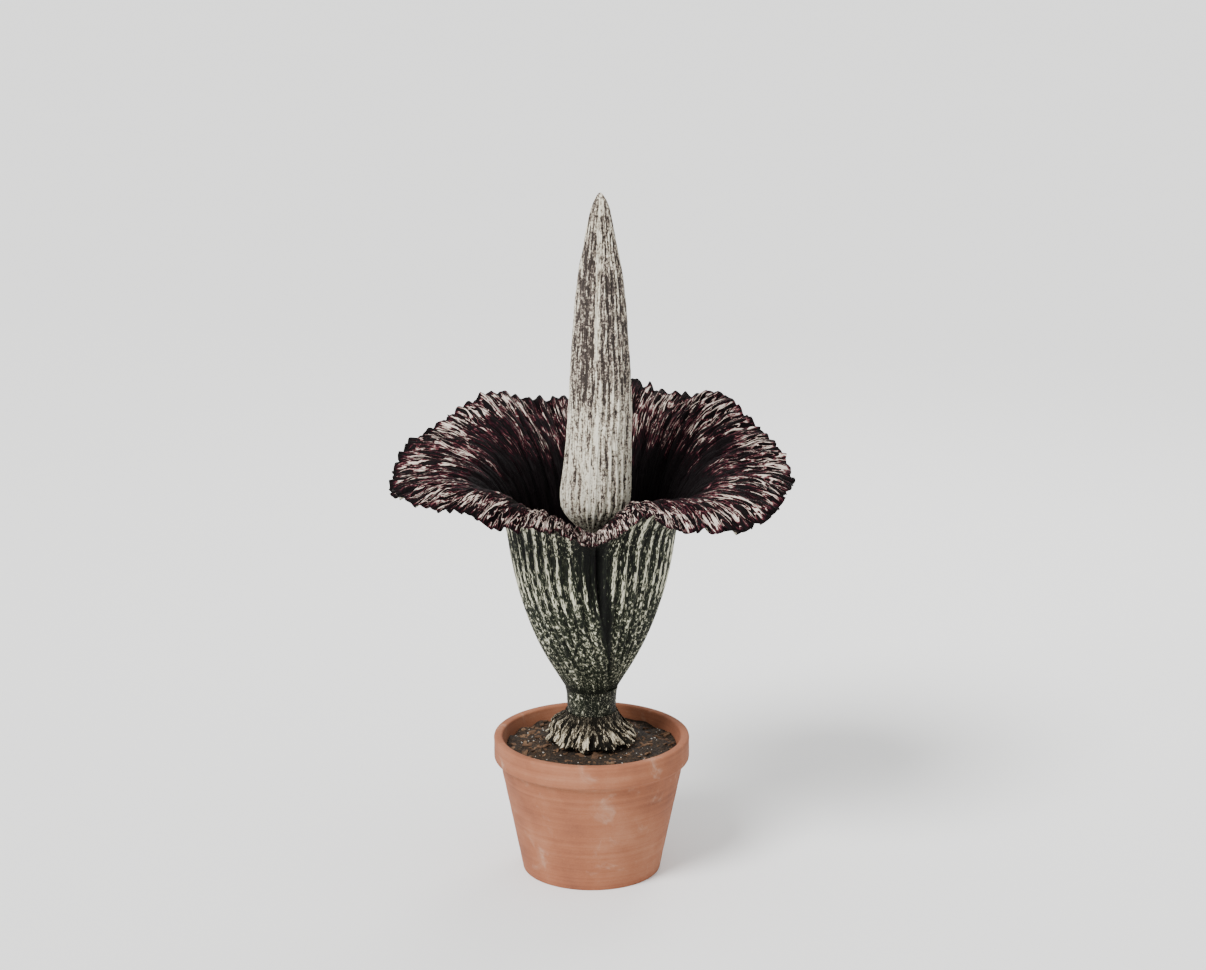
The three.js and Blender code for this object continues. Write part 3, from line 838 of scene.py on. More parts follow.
class SpadixSkin(Finish):
    """The appendix's skin: pale and fluted, greyer above, with dark broken lines in the furrows."""

    name = "spadix_skin"
    dark: Colour = (0.030, 0.022, 0.018)
    mauve: Colour = (0.215, 0.168, 0.145)
    cream: Colour = (0.56, 0.505, 0.375)
    pale: Colour = (0.76, 0.72, 0.60)

    def wire(self) -> None:
        """Wire broad and fine broken lines up the skin, with the kept painted highlight and painted
        shade.
        """
        broad = self.lumps(self.place((1, 1, 0.045)), 34, 4, 0.6)
        lines = self.lumps(self.place((1, 1, 0.05)), 120, 4, 0.65)
        broken = self.lumps(self.place((1, 1, 0.2)), 135, 4, 0.7)
        grain = self.lumps(self.place(), 150, 3, 0.7)
        # The kept shade brings a painted highlight up a ridge near the front, painted shade on the left
        # side, and darkening above.
        tone = self.sum(-2.17, (0.60, broad), (1.6, lines), (1.7, broken), (1.6, grain),
                        (0.14, self.value("crest")), (-0.24, self.value("shade")))
        colour = self.colours(tone, (0.26, self.dark), (0.42, self.mauve), (0.56, self.cream),
                              (0.72, self.pale))
        roughness = self.between(broad, 0.3, 0.7, 0.66, 0.54)
        height = self.sum(0, (0.8, lines), (0.7, broken), (0.25, grain))
        self.shade(colour, roughness, height, depth=0.003, gloss=0.3)


class Floret(Finish):
    """A small flower's skin, which changes colour from its root to its tip."""

    root: Colour
    body: Colour
    tip: Colour

    def wire(self) -> None:
        """Wire patches and grain, coloured by how far the surface reaches out."""
        patches = self.lumps(self.place(), 70, 4)
        grain = self.lumps(self.place(), 650, 3)
        tone = self.sum(-0.15, (1.0, self.value("reach")), (0.3, patches))
        colour = self.colours(tone, (0.15, self.root), (0.5, self.body), (0.9, self.tip))
        height = self.sum(0, (0.6, grain), (0.4, patches))
        self.shade(colour, 0.55, height, depth=0.0006, gloss=0.4)


class PistilSkin(Floret):
    """Dark purple ovaries and styles, with yellow stigmas."""

    name = "pistil_skin"
    root = (0.10, 0.02, 0.04)
    body = (0.16, 0.02, 0.05)
    tip = (0.55, 0.42, 0.12)


class AntherSkin(Floret):
    """Pale yellow anthers on a brown core."""

    name = "anther_skin"
    root = (0.20, 0.13, 0.05)
    body = (0.60, 0.48, 0.20)
    tip = (0.78, 0.70, 0.42)


class StudioFloor(Finish):
    """A plain pale floor, matt, with the faintest unevenness."""

    name = "studio_floor"
    light: Colour = (0.92, 0.92, 0.91)
    dim: Colour = (0.90, 0.90, 0.89)

    def wire(self) -> None:
        """Wire faint clouds."""
        clouds = self.lumps(self.place(), 0.7, 3)
        height = self.lumps(self.place(), 60, 2)
        self.shade(self.blend(clouds, self.light, self.dim), 0.9, height, depth=0.0002, gloss=0.2)


@dataclass
class ClayPot:
    """The plain clay pot: a tapered wall under a thicker band, with drain holes in its floor."""

    height: float = 430
    base_radius: float = 212
    shoulder_radius: float = 283
    shoulder_height: float = 354
    rim_radius: float = 300
    wall: float = 24
    floor: float = 28
    edge_round: float = 7
    drain_holes: int = 4
    drain_radius: float = 12
    drain_circle: float = 115
    drain_sides: int = 32
    sides: int = 176
    row_height: float = 9
    ripple: float = 0.28
    ripple_pitch: float = 2.9
    wobble: float = 0.7
    true_foot: Pair = (4, 40)

    def inner_radius(self, height: float) -> float:
        """Return the radius inside the pot at a height."""
        slope = (self.shoulder_radius - self.base_radius) / self.shoulder_height
        return self.base_radius + slope * height - self.wall

    def outline(self) -> Array:
        """Work out the wall's outline.

        Returns:
            Radii and heights, from the underside over the rim to the floor inside.
        """
        hub = self.drain_circle / 3
        edge = self.edge_round
        return divided(rounded((
            (hub, 0, 0),
            (self.base_radius, 0, edge / 2),
            (self.shoulder_radius, self.shoulder_height, edge / 2),
            (self.rim_radius, self.shoulder_height + edge / 2, edge),
            (self.rim_radius, self.height, edge),
            (self.inner_radius(self.height), self.height, edge),
            (self.inner_radius(self.floor), self.floor, edge),
            (hub, self.floor, 0),
        )), self.row_height)

    def relief(self, skin: Skin) -> Array:
        """Give the wall its turning ripples and a hand-made unevenness, none on the underside.

        Args:
            skin: The points of its skin.

        Returns:
            How far each stands out.
        """
        angle = np.radians(skin.degrees)
        ripples = self.ripple * np.sin(skin.height / self.ripple_pitch + 0.4 * np.sin(2 * angle))
        uneven = self.wobble * (np.sin(2 * angle + 0.7) + 0.5 * np.sin(3 * angle + skin.height / 90))
        return ramp(skin.height, *self.true_foot) * (ripples + uneven)

    def build(self) -> None:
        """Build the pot and drill it."""
        pot = turned("clay_pot", self.outline(), self.sides, self.relief)
        drills = []
        for i in range(self.drain_holes):
            x, y, _ = polar(self.drain_circle, FULL_TURN * (i + 0.5) / self.drain_holes, 0) * MM
            drills.append(primitive(
                f"drill_{i}", bpy.ops.mesh.primitive_cylinder_add, vertices=self.drain_sides,
                radius=self.drain_radius * MM, depth=3 * self.floor * MM, location=(x, y, 0)))
        drill = joined(drills)
        apply_modifier(pot, "BOOLEAN", operation="DIFFERENCE", object=drill, solver="EXACT")
        bpy.data.objects.remove(drill)
        dress(pot, Terracotta(), "pot", crease=50)


@dataclass
class Tuber:
    """The tuber: a flattened globe with low lumps and a level crown, all under the soil."""

    radius: float = 178
    centre: float = 190
    half_height: float = 116
    underside: float = -70
    shoulder: float = 64
    crown_radius: float = 75
    top: float = 303
    lump: float = 5
    rings: int = 9
    rows: int = 44
    sides: int = 120

    def outline(self, clearance: float = 0) -> Array:
        """Work out its outline.

        Args:
            clearance: How far it is grown all round.

        Returns:
            Radii and heights, from the underside to the crown.
        """
        angle = np.radians(np.linspace(self.underside, self.shoulder, self.rows))
        globe = np.stack([(self.radius + clearance) * np.cos(angle),
                          self.centre + (self.half_height + clearance) * np.sin(angle)], axis=1)
        return np.vstack([globe, (self.crown_radius + clearance, self.top + clearance)])

    def lumps(self, skin: Skin) -> Array:
        """Raise lumps on the skin, which die out towards the crown.

        Args:
            skin: The points of its skin, or of the soil round it.

        Returns:
            How far each stands out.
        """
        rise = np.degrees(np.arcsin(np.clip((skin.height - self.centre) / self.half_height, -1, 1)))
        ring = (rise - self.underside) / (self.shoulder - self.underside) * (self.rings - 1)
        angle = np.radians(skin.degrees)
        bulge = np.sin(5 * angle + ring) + 0.6 * np.sin(11 * angle - 2 * ring)
        return self.lump * bulge * np.clip(self.rings - 1 - ring, 0, 1)

    def build(self) -> None:
        """Build the tuber."""
        tuber = turned("tuber_corm", self.outline(), self.sides, self.lumps)
        dress(tuber, TuberSkin(), "tuber", crease=50)


@dataclass(frozen=True)
class Litter:
    """Loose pieces of a kind, strewn on the soil: how many, and how they lie."""

    name: str
    finish: type[Finish]
    count: int
    models: int
    size: float
    scales: Pair
    sunk: float
    tilt: float
    crease: float = 180


@dataclass
class Soil:
    """The soil: level round the plant, falling to the pot's wall, crumbly, with bark and perlite."""

    pot: ClayPot
    tuber: Tuber
    edge_drop: float = 14
    level_radius: float = 160
    clod: float = 5
    clod_rise: float = 20
    hole_radius: float = 72.6
    clearance: float = 1.2
    row_width: float = 3.2
    hole_row: float = 16
    wall_row: float = 24
    sides: int = 224
    crumb: float = 2.2
    crumb_sizes: Pair = (7, 19)
    crumb_margins: Pair = (4, 16)
    calm_edge: float = 6
    seed: int = 11
    strewn_from: float = 96
    strewn_inside: float = 12
    chips: Litter = Litter("bark_chips", Bark, count=300, models=5, size=20,
                           scales=(0.55, 1.45), sunk=0.6, tilt=13, crease=40)
    grains: Litter = Litter("perlite_grains", Perlite, count=110, models=4, size=4.2,
                            scales=(0.6, 1.7), sunk=0.4, tilt=40)

    @property
    def shelf(self) -> float:
        """The height at which the soil's top meets the pot."""
        return SOIL_LINE - self.edge_drop - 2 * self.clod

    @property
    def edge(self) -> float:
        """The top's outer radius."""
        return self.pot.inner_radius(self.shelf) - self.clearance

    def surface(self, x: Array, y: Array) -> Array:
        """Work out the height of the soil's top, without its crumbs.

        Args:
            x: Millimetres to the right of the axis.
            y: Millimetres behind it.

        Returns:
            The height.
        """
        radius = np.hypot(x, y)
        slope = ramp(radius, self.level_radius, self.level_radius + self.clod_rise)
        waves = np.sin(x / 17 + 1.3) * np.cos(y / 21) + 0.7 * np.sin((x + 2 * y) / 29 - 0.6)
        drop = self.edge_drop * ramp(radius, self.level_radius, self.edge)
        return SOIL_LINE - drop + self.clod * waves * slope

    def build(self) -> None:
        """Build the soil round the tuber, and strew it."""
        foot = self.pot.inner_radius(self.pot.floor) - self.clearance
        floor = self.pot.floor + SEAT
        under = divided([(foot / 3, floor), (foot, floor), (self.edge, self.shelf)], self.wall_row)
        top = divided([(self.edge - 1, SOIL_LINE), (self.hole_radius, SOIL_LINE)], self.row_width)
        neck = (self.hole_radius, self.tuber.top + self.clearance)
        hole = divided([top[-1], neck], self.hole_row)[1:]
        pit = self.tuber.outline(self.clearance)[::-1]
        top_row = len(under)
        hole_row = top_row + len(top)
        pit_row = hole_row + len(hole)

        def hollow(skin: Skin) -> Array:
            """Return how far the pit follows the tuber's lumps."""
            return np.where(skin.row >= pit_row, self.tuber.lumps(skin), 0)

        def lift(skin: Skin) -> Array:
            """Raise clods and crumbs on the top.

            Args:
                skin: The points of the soil's skin.

            Returns:
                How far each is raised.
            """
            x, y, _ = polar(skin.radius, skin.degrees, skin.height).T
            small, large = self.crumb_sizes
            crumbs = self.crumb * (rough(x / small, y / small) + 0.7 * rough(x / large, y / large, 3.1))
            inner, outer = (self.hole_radius + margin for margin in self.crumb_margins)
            inside = swell(skin.radius, inner, outer, self.edge - self.calm_edge, self.edge)
            raised = self.surface(x, y) - SOIL_LINE + crumbs * inside
            return np.where((skin.row >= top_row) & (skin.row < hole_row), raised, 0)

        soil = turned("soil_body", np.concatenate([under, top, hole, pit]), self.sides, hollow, lift)
        dress(soil, PottingSoil(), "soil", crease=60)

        draw = np.random.default_rng(self.seed)
        for litter, model in ((self.chips, self.chip_model), (self.grains, self.grain_model)):
            models = [model(i) for i in range(litter.models)]
            loose = scattered(litter.name, models, self.strewn(litter, draw))
            dress(loose, litter.finish(), crease=litter.crease)

    def chip_model(self, number: int) -> Piece:
        """Model a flat chip of bark with split ends.

        Args:
            number: Which of the models it is.

        Returns:
            The chip.
        """
        chip = primitive(f"chip_{number}", bpy.ops.mesh.primitive_cube_add, size=1)
        cut_along(chip, 0, 3)
        bevel_all(chip, 0.05)
        x, y, z = places(chip).T
        taper = 1 - 0.45 * np.abs(2 * x) ** 1.6
        ragged = rough(x * 3 + 9 * number, y * 3, z * 3)
        length = x + 0.12 * ragged
        width = (0.42 + 0.1 * (number % 3)) * taper * (y + 0.18 * ragged)
        height = 0.16 * (z * (1 + 0.3 * ragged) + 0.9 * np.cos(2.2 * x + number))
        size = self.chips.size
        bow = 1.6 * x**2 * number
        reshape(chip, np.stack([size * length, size * width + bow, size * height], axis=1))
        return chip

    def grain_model(self, number: int) -> Piece:
        """Model a puffed grain of perlite.

        Args:
            number: Which of the models it is.

        Returns:
            The grain.
        """
        grain = primitive(f"grain_{number}", bpy.ops.mesh.primitive_ico_sphere_add,
                          subdivisions=2, radius=self.grains.size / 2)
        points = places(grain)
        puffed = 1 + 0.35 * rough(*(points.T * 2.6 / self.grains.size + 7 * number))
        reshape(grain, points * puffed[:, None] * (1, 0.85, 0.7))
        return grain

    def strewn(self, litter: Litter, draw: np.random.Generator) -> list[Spot]:
        """Choose where loose pieces lie on the soil.

        Args:
            litter: The pieces.
            draw: The seeded source of chance.

        Returns:
            A spot for each piece.
        """
        spots = []
        for _ in range(litter.count):
            radius = math.sqrt(draw.uniform(self.strewn_from**2, (self.edge - self.strewn_inside) ** 2))
            x, y, _ = polar(radius, draw.uniform(0, FULL_TURN), 0)
            place = Matrix.Translation(Vector((x, y, float(self.surface(x, y)) - litter.sunk)) * MM)
            scale = Matrix.Scale(draw.uniform(*litter.scales), 4)
            turn = spun(draw.uniform(0, FULL_TURN), "Z")
            lean = spun(draw.normal(0, litter.tilt), "X")
            roll = spun(draw.normal(0, litter.tilt), "Y")
            spots.append((int(draw.integers(litter.models)), place @ turn @ lean @ roll @ scale))
        return spots


@dataclass
class Peduncle:
    """The short thick stalk, from the tuber's crown to the foot of the flower.

    A station is a radius, a height and the length that its rounding takes off each side. The skin is
    bare, with its creases, between the heights where it fades in and out.
    """

    tuber: Tuber
    stations: tuple[Triple, ...] = (
        (72, -8, 0), (70, 20, 2.5), (70, 78, 2.5), (74, 100, 2.5), (75, 122, 2.5), (76, 150, 2.5),
        (78, 168, 2.5), (80.5, 176, 2.5), (80.5, 181.7, 0))
    sides: int = 128
    row_height: float = 3.4
    crease_depth: float = 1.3
    bare: tuple[float, ...] = (0, 20, 174, 181)

    def relief(self, skin: Skin) -> Array:
        """Sink shallow creases and dimples into the skin, none in the buried part.

        Args:
            skin: The points of its skin.

        Returns:
            How far each stands out.
        """
        angle = np.radians(skin.degrees)
        x, y = skin.radius * np.cos(angle), skin.radius * np.sin(angle)
        creases = np.abs(rough(x / 9, y / 9, skin.height / 60))
        dimples = np.abs(rough(x / 14, y / 14, skin.height / 11 + 5))
        shown = swell(skin.height - SOIL_LINE, *self.bare)
        return -self.crease_depth * shown * (creases + 0.8 * dimples)

    def build(self) -> None:
        """Build the peduncle."""
        foot = (self.stations[0][0], self.tuber.top + SEAT, 0)
        above = [(radius, SOIL_LINE + height, rounding) for radius, height, rounding in self.stations]
        outline = divided(rounded([foot, *above]), self.row_height)
        stalk = turned("mottled_peduncle", outline, self.sides, self.relief)
        dress(stalk, MottledStalk(), "peduncle", crease=60)


@dataclass
class Sheaths:
    """The dry sheaths that skirt the peduncle's foot in two whorls, splayed on the soil and torn.

    Their meridian is radii and heights. Along is 0 at a sheath's top and 1 at its hem, and a pair
    called from is where along it something starts to show, and where it shows fully.
    """

    meridian: tuple[Pair, ...] = ((76, 104), (79, 84), (96, 48), (142, 7))
    per_whorl: int = 4
    pleat: float = 20
    pleats: int = 4
    outer_turn: float = 50
    wall: float = 2.4
    stand: float = 0.8
    hem_stand: float = 5
    bulge_depth: float = 20
    bulge_middle: float = 278
    bulge_ease: float = 80
    bulge_rises: Pair = (0.16, 0.46)
    bulge_falls: Pair = (0.52, 0.9)
    pleat_depth: float = 5
    free_from: Pair = (0.1, 0.9)
    ragged: float = 0.1
    shoulder: float = 0.12
    solid_columns: int = 8
    columns: int = 104
    rows: int = 46
    fibre: float = 0.6
    fibre_width: float = 3.2
    fibre_from: Pair = (0.02, 0.3)
    tooth: float = 0.08
    wrinkle: float = 0.8
    wrinkle_lean: float = 26
    crumple: float = 2.6
    crumple_from: Pair = (0.45, 1)
    stray: float = 0.3
    stray_from: Pair = (0, 0.4)
    narrowing: float = 7
    flow_length: float = 150
    seed: int = 5

    def hem(self, number: int, across: Array) -> Array:
        """Work out how far down a sheath reaches at its torn hem.

        Args:
            number: The sheath's number.
            across: 0 at its one side and 1 at the other.

        Returns:
            The share of the full length.
        """
        stations = np.arange(self.solid_columns + 1)
        torn = self.ragged * np.abs(np.sin(2.3 * stations + 1.9 * number + 0.6))
        draw = np.random.default_rng(self.seed + number)
        teeth = draw.uniform(0, 1, self.columns // 2 + 1) ** 1.7
        teeth[::3] *= 0.25
        reach = 1 - np.interp(across * self.solid_columns, stations, torn)
        return reach - self.tooth * np.interp(across * (len(teeth) - 1), np.arange(len(teeth)), teeth)

    def sheath(self, number: int, middle: float, stand: int) -> Piece:
        """Shape one sheath.

        Args:
            number: Its number, from 1.
            middle: The degrees of its middle.
            stand: 0 in the inner whorl and 1 in the outer one.

        Returns:
            The sheath, with its wall.
        """
        piece = grid(f"dry_sheath_{number}", self.columns, self.rows)
        across, down, _ = places(piece).T
        span = self.pleat * self.pleats - self.narrowing * down**2 * (1 + rough(down * 3, number))
        degrees = middle + (across - 0.5) * span
        along = mix(self.shoulder * (2 * across - 1) ** 4, self.hem(number, across), down)
        free = ramp(along, *self.free_from)

        theta = np.radians(degrees)
        ring = (np.sin(theta) * 2.6, np.cos(theta) * 2.6)
        stray = self.stray * ramp(along, *self.stray_from) * rough(*ring, along * 1.3)
        uneven = 0.8 + 0.5 * rough(*ring, along + 4.4)
        leaning = (degrees + self.wrinkle_lean * along * math.sin(2.4 * number)) / 9
        folds = 1 - 3.4 * np.hypot(rough(leaning, along * 1.8, number), 0.06)
        bulge = self.bulge_depth * swell(along, *self.bulge_rises, *self.bulge_falls)
        fibres = self.fibre * rough(degrees / self.fibre_width, along * 4, number)
        crumples = self.crumple * rough(degrees / 8, along * 7, number + 3)
        out = (stand * (self.wall + self.stand + self.hem_stand * along)
               + self.pleat_depth * free * (uneven * wave(degrees / self.pleat + stray)
                                            + self.wrinkle * folds)
               + bulge * (1 - ramp(np.abs(past(degrees, self.bulge_middle)), 0, self.bulge_ease))
               + fibres * ramp(along, *self.fibre_from) + crumples * ramp(along, *self.crumple_from))
        point, tangent = bezier(self.meridian, along)
        radius, height = (point - out[:, None] * aside(tangent)).T
        reshape(piece, polar(radius, degrees, SOIL_LINE + height))
        same = np.ones_like(along)
        # The crests drive painted highlights and painted shade along the folds, and the inner whorl is
        # marked for painted shade.
        record(piece, crest=folds * free, hem=ramp(down, 0.7, 1), inner=same * (1 - stand),
               flow=np.stack([degrees, along * self.flow_length, same * number], axis=1))
        apply_modifier(piece, "SOLIDIFY", thickness=self.wall * MM, offset=0)
        return piece

    def build(self) -> None:
        """Build both whorls."""
        finish = DrySheath()
        step = FULL_TURN / self.per_whorl
        for i in range(self.per_whorl):
            for stand in (0, 1):
                number = 2 * i + stand + 1
                piece = self.sheath(number, stand * self.outer_turn + step * i, stand)
                dress(piece, finish, f"sheath_{number}", crease=55)


@dataclass
class Spathe:
    """The bract: one pleated sheet wrapped into a tube, whose limb spreads to a crumpled margin.

    A station of its rim is degrees, a radius, a height, how far the edge points above the level, and
    how far the limb goes on up from the throat before it turns outwards. Its wall is given at the
    foot, at the throat and at the rim. In its methods, share is 0 at the tucked margin and 1 at the
    lapping one, and along is 0 at the foot, 1 at the throat and 2 at the rim. A pair called from is
    where along the sheet something starts to show, and where it shows fully.
    """

    tube: tuple[Pair, ...] = ((76, SPATHE_FOOT), (118, 255), (215, 405), (246, THROAT))
    rim: tuple[tuple[float, ...], ...] = (
        (0, 318, 714, -60, 45), (13, 354, 750, -50, 80), (23, 392, 806, -30, 110),
        (33, 440, 774, -52, 150), (45, 500, 766, -50, 165), (56, 546, 760, -42, 165),
        (66, 580, 786, -34, 160), (78, 601, 832, -24, 150), (92, 605, 836, -18, 145),
        (104, 601, 874, -10, 140), (117, 592, 908, -2, 130), (127, 580, 968, 8, 125),
        (136, 569, 1004, 12, 120), (146, 556, 982, 14, 115), (156, 545, 990, 18, 115),
        (166, 536, 1016, 22, 115), (178, 530, 994, 24, 115), (190, 532, 960, 24, 115),
        (203, 544, 964, 20, 115), (216, 559, 992, 16, 120), (229, 576, 942, 6, 125),
        (242, 591, 898, -2, 130), (252, 599, 888, -8, 140), (263, 604, 840, -16, 145),
        (275, 604, 808, -24, 150), (290, 590, 828, -26, 150), (303, 548, 818, -32, 150),
        (314, 503, 824, -34, 145), (323, 464, 784, -44, 135), (335, 406, 782, -46, 105),
        (346, 358, 756, -54, 85))
    wall: Triple = (6, 4.6, 2.6)
    ribs: int = 44
    reach_of_rise: float = 0.5
    reach_of_spread: float = 0.35
    rib_depth: float = 3.6
    ribs_from: Pair = (0.02, 0.5)
    pleat_depth: float = 7
    pleats_from: Pair = (1.1, 2)
    notch_depth: float = 26
    notch_span: tuple[float, ...] = (0.55, 0.95, 1.02, 1.4)
    notch_middle: float = -2
    notch_half_width: float = 13
    tuck_under: float = 18
    tuck_at_rim: float = 5
    lap_over: float = 30
    lap_at_rim: float = 3
    tuck_depth: float = 13
    lap_lift: float = 5
    lap_clearance: float = 3
    lap_ease: float = 55
    columns_per_rib: int = 24
    tube_rows: int = 15
    limb_rows: int = 29
    vein_depth: float = 0.9
    veins_from: Pair = (0.15, 0.9)
    crease_depth: float = 5
    creases_from: Pair = (0.95, 1.7)
    fringe: float = 3
    fringe_from: Pair = (1.6, 2)
    crumple: float = 5.5
    crumple_from: Pair = (1.35, 2)
    scallop: float = 9
    ragged_from: Pair = (1.55, 2)
    tears: int = 34
    tear_widths: Pair = (0.1, 0.34)
    tear_depths: Pair = (4.8, 16)
    seed: int = 23

    def middle(self, degrees: Array, along: Array) -> tuple[Array, Array]:
        """Find the smooth middle surface.

        Args:
            degrees: Angles from the front.
            along: How far up the sheet.

        Returns:
            Points of radius and height, and their outward normals.
        """
        low, tangent = bezier(self.tube, np.minimum(along, 1))
        normal = mix(np.array([1, 0]), aside(tangent), ramp(along, 0, 0.12)[:, None])
        normal /= np.linalg.norm(normal, axis=1, keepdims=True)

        radius, height, slope, rise = around(np.array(self.rim, float), degrees).T
        elbow, throat = np.array(self.tube[2:], float)
        lean = (throat - elbow) / np.linalg.norm(throat - elbow)
        end = np.stack([radius, height], axis=1)
        spread = np.linalg.norm(end - throat, axis=1)
        reach = self.reach_of_rise * rise + self.reach_of_spread * spread
        slant = np.radians(slope)
        back = np.stack([np.cos(slant), np.sin(slant)], axis=1) * reach[:, None]
        high, way = bezier([throat, throat + rise[:, None] * lean, end - back, end],
                           np.clip(along - 1, 0, 1))
        on_tube = (along <= 1)[:, None]
        return np.where(on_tube, low, high), np.where(on_tube, normal, aside(way))

    def offsets(self, share: Array, along: Array, degrees: Array, start: Array,
                end: Array) -> tuple[Array, Array]:
        """Work out how far the sheet stands out from its middle surface.

        Args:
            share: How far across the sheet.
            along: How far up it.
            degrees: Angles from the front.
            start: The angles of the tucked margin.
            end: The angles of the lapping margin.

        Returns:
            The offset of each point, and how high it lies on its rib, from -1 to 1.
        """
        lap_end, tuck_end = end - FULL_TURN, start + FULL_TURN
        depth = self.tuck_depth * mix(0.65, 1, ramp(along, 0, 0.8))
        tucked = -depth * (1 - ramp(degrees, lap_end + self.lap_clearance, lap_end + self.lap_ease))
        lapped = self.lap_lift * ramp(degrees, tuck_end - self.lap_ease, tuck_end - self.lap_clearance)

        x = self.ribs * share
        strayed = (x + 0.16 * rough(x / 2.2, along * 2.4, 4.7)
                   + 0.1 * ramp(along, 1, 1.6) * rough(x / 0.9, along * 4, 9.3))
        uneven = 1 + 0.4 * rough(x / 1.7, along * 2, 8.1)
        crest = rib(strayed)
        ribs = self.rib_depth * ramp(along, *self.ribs_from) * crest * mix(uneven, 1, 0.4)
        veins = self.vein_depth * ramp(along, *self.veins_from) * wave(3 * strayed)
        bent = wave(2 * x + 0.2 * rough(x / 0.8, along * 3, 5.1))
        pleats = self.pleat_depth * ramp(along, *self.pleats_from) * bent * uneven
        calm = ramp(degrees, lap_end - 1, lap_end + 14) * (
            1 - ramp(degrees, 345, 358) * ramp(along, 0.8, 1.3))

        furrow = rough(x * 1.5 + 0.5 * rough(x, along * 5, 3.3), along * 3.6, 2.2)
        ridge = 1.4 - 3.2 * np.hypot(furrow, 0.12)
        creases = self.crease_depth * ramp(along, *self.creases_from) * ridge * mix(0.5, 1, calm)
        frill = wave(3.1 * x + 1.1 * rough(x / 1.3, along * 2, 1.9))
        frilled = self.fringe * ramp(along, *self.fringe_from) * (1 + 0.6 * rough(x / 1.1, 0.7))
        crumpled = self.crumple * ramp(along, *self.crumple_from)
        edge = frilled * frill + crumpled * rough(x * 2.3, along * 9, 2.2, octaves=4)
        half_width = 1 + self.notch_half_width * ramp(along, 0.35, 0.95)
        off_notch = np.abs(past(degrees, self.notch_middle))
        sunk = self.notch_depth * swell(along, *self.notch_span)
        notch = sunk * (1 - ramp(off_notch, 0, half_width))
        relief = (ribs + veins + pleats) * calm - creases + edge * mix(0.45, 1, calm)
        out = tucked + lapped + relief - notch
        return out, crest * calm

    def fold(self, along: Array, degrees: Array, end: Array) -> Array:
        """Work out the painted shade beside the lapping margin, all round under the limb where it turns
        outwards, and at the foot.

        Args:
            along: How far up the sheet.
            degrees: Angles from the front.
            end: The angles of the lapping margin.

        Returns:
            The painted shade, from 0 to 1.
        """
        # Painted shade: the groove beside the lapping margin, the band under the limb and the foot are
        # darkened.
        off = past(degrees, end)
        off += 1.4 * rough(along * 16, off / 5) + 0.9 * rough(along * 50, off / 3)
        width = np.where(off < 0, 2.5 + 12 * ramp(along, 0.62, 0.94), 4.5 + 6.5 * ramp(along, 0.5, 0.7))
        beside = (1 - ramp(np.abs(off), 0.4 * width, 1.3 * width)) * swell(along, 0.05, 0.4, 1.25, 1.5)
        under_lip = 0.3 * swell(along, 0.88, 1.0, 1.05, 1.3)
        shade_at_foot = 0.6 * (1 - ramp(along, 0.02, 0.17))
        return np.maximum.reduce([beside, under_lip, shade_at_foot])

    def ragged(self, share: Array) -> Array:
        """Work out how far the margin is drawn in by its scallops and tears.

        Args:
            share: How far across the sheet.

        Returns:
            The distance at each place.
        """
        x = self.ribs * share
        lobe = np.abs(np.sin(math.pi * (1.7 * x + 1.5 * rough(x / 1.2, 0.3)))) ** 0.5
        scallops = (1 - lobe) * (1 + rough(x / 1.9, 6.2)) + 0.3 * rough(x * 4.4, 3.4, octaves=4) - 0.3
        drawn_in = self.scallop * scallops
        draw = np.random.default_rng(self.seed)
        for _ in range(self.tears):
            middle = draw.uniform(1, self.ribs - 1)
            width = draw.uniform(*self.tear_widths)
            depth = draw.uniform(*self.tear_depths)
            drawn_in += depth * np.clip(1 - np.abs(x - middle) / width, 0, 1)
        return drawn_in

    def build(self) -> None:
        """Build the sheet, with its wall, and one finish outside and another inside."""
        rows = self.tube_rows + self.limb_rows
        piece = grid("pleated_spathe", self.ribs * self.columns_per_rib, rows)
        share, up, _ = places(piece).T
        row = np.rint(up * rows).astype(int)
        limb = 1 - (1 - np.linspace(0, 1, self.limb_rows + 1)[1:]) ** 1.35
        stations = np.concatenate([np.linspace(0, 1, self.tube_rows + 1), 1 + limb])
        along = stations[row]

        start = -mix(self.tuck_under, self.tuck_at_rim, ramp(along, 0.9, 1.9))
        end = FULL_TURN + self.lap_at_rim + self.lap_over * (1 - ramp(along, 0, 0.95))
        degrees = mix(start, end, share)
        front = np.abs(past(degrees, 0))
        point, normal = self.middle(degrees, along)
        out, crest = self.offsets(share, along, degrees, start, end)
        inwards = ramp(along, *self.ragged_from) * mix(0.5, 1, ramp(front, 14, 40))
        drawn_in = self.ragged(share) * inwards
        radius, height = (point + out[:, None] * normal + drawn_in[:, None] * aside(normal)).T
        reshape(piece, polar(radius, degrees, SOIL_LINE + height))
        # The darkness kept here beside the lapping margin, under the limb and at the foot is painted
        # shade.
        record(piece, crest=crest, fold=self.fold(along, degrees, end),
               flow=np.stack([self.ribs * share, along, np.zeros_like(along)], axis=1),
               rise=ramp(along, 0.58, 0.92), out=ramp(along, 1.02, 1.76),
               edge=ramp(along, 1.78, 1.9) - 1.9 * ramp(along, 1.95, 2),
               # The front of the rolled margin is made paler as a painted highlight.
               lip=(1 - ramp(front, 26, 46)) * ramp(along, 1.3, 1.62))

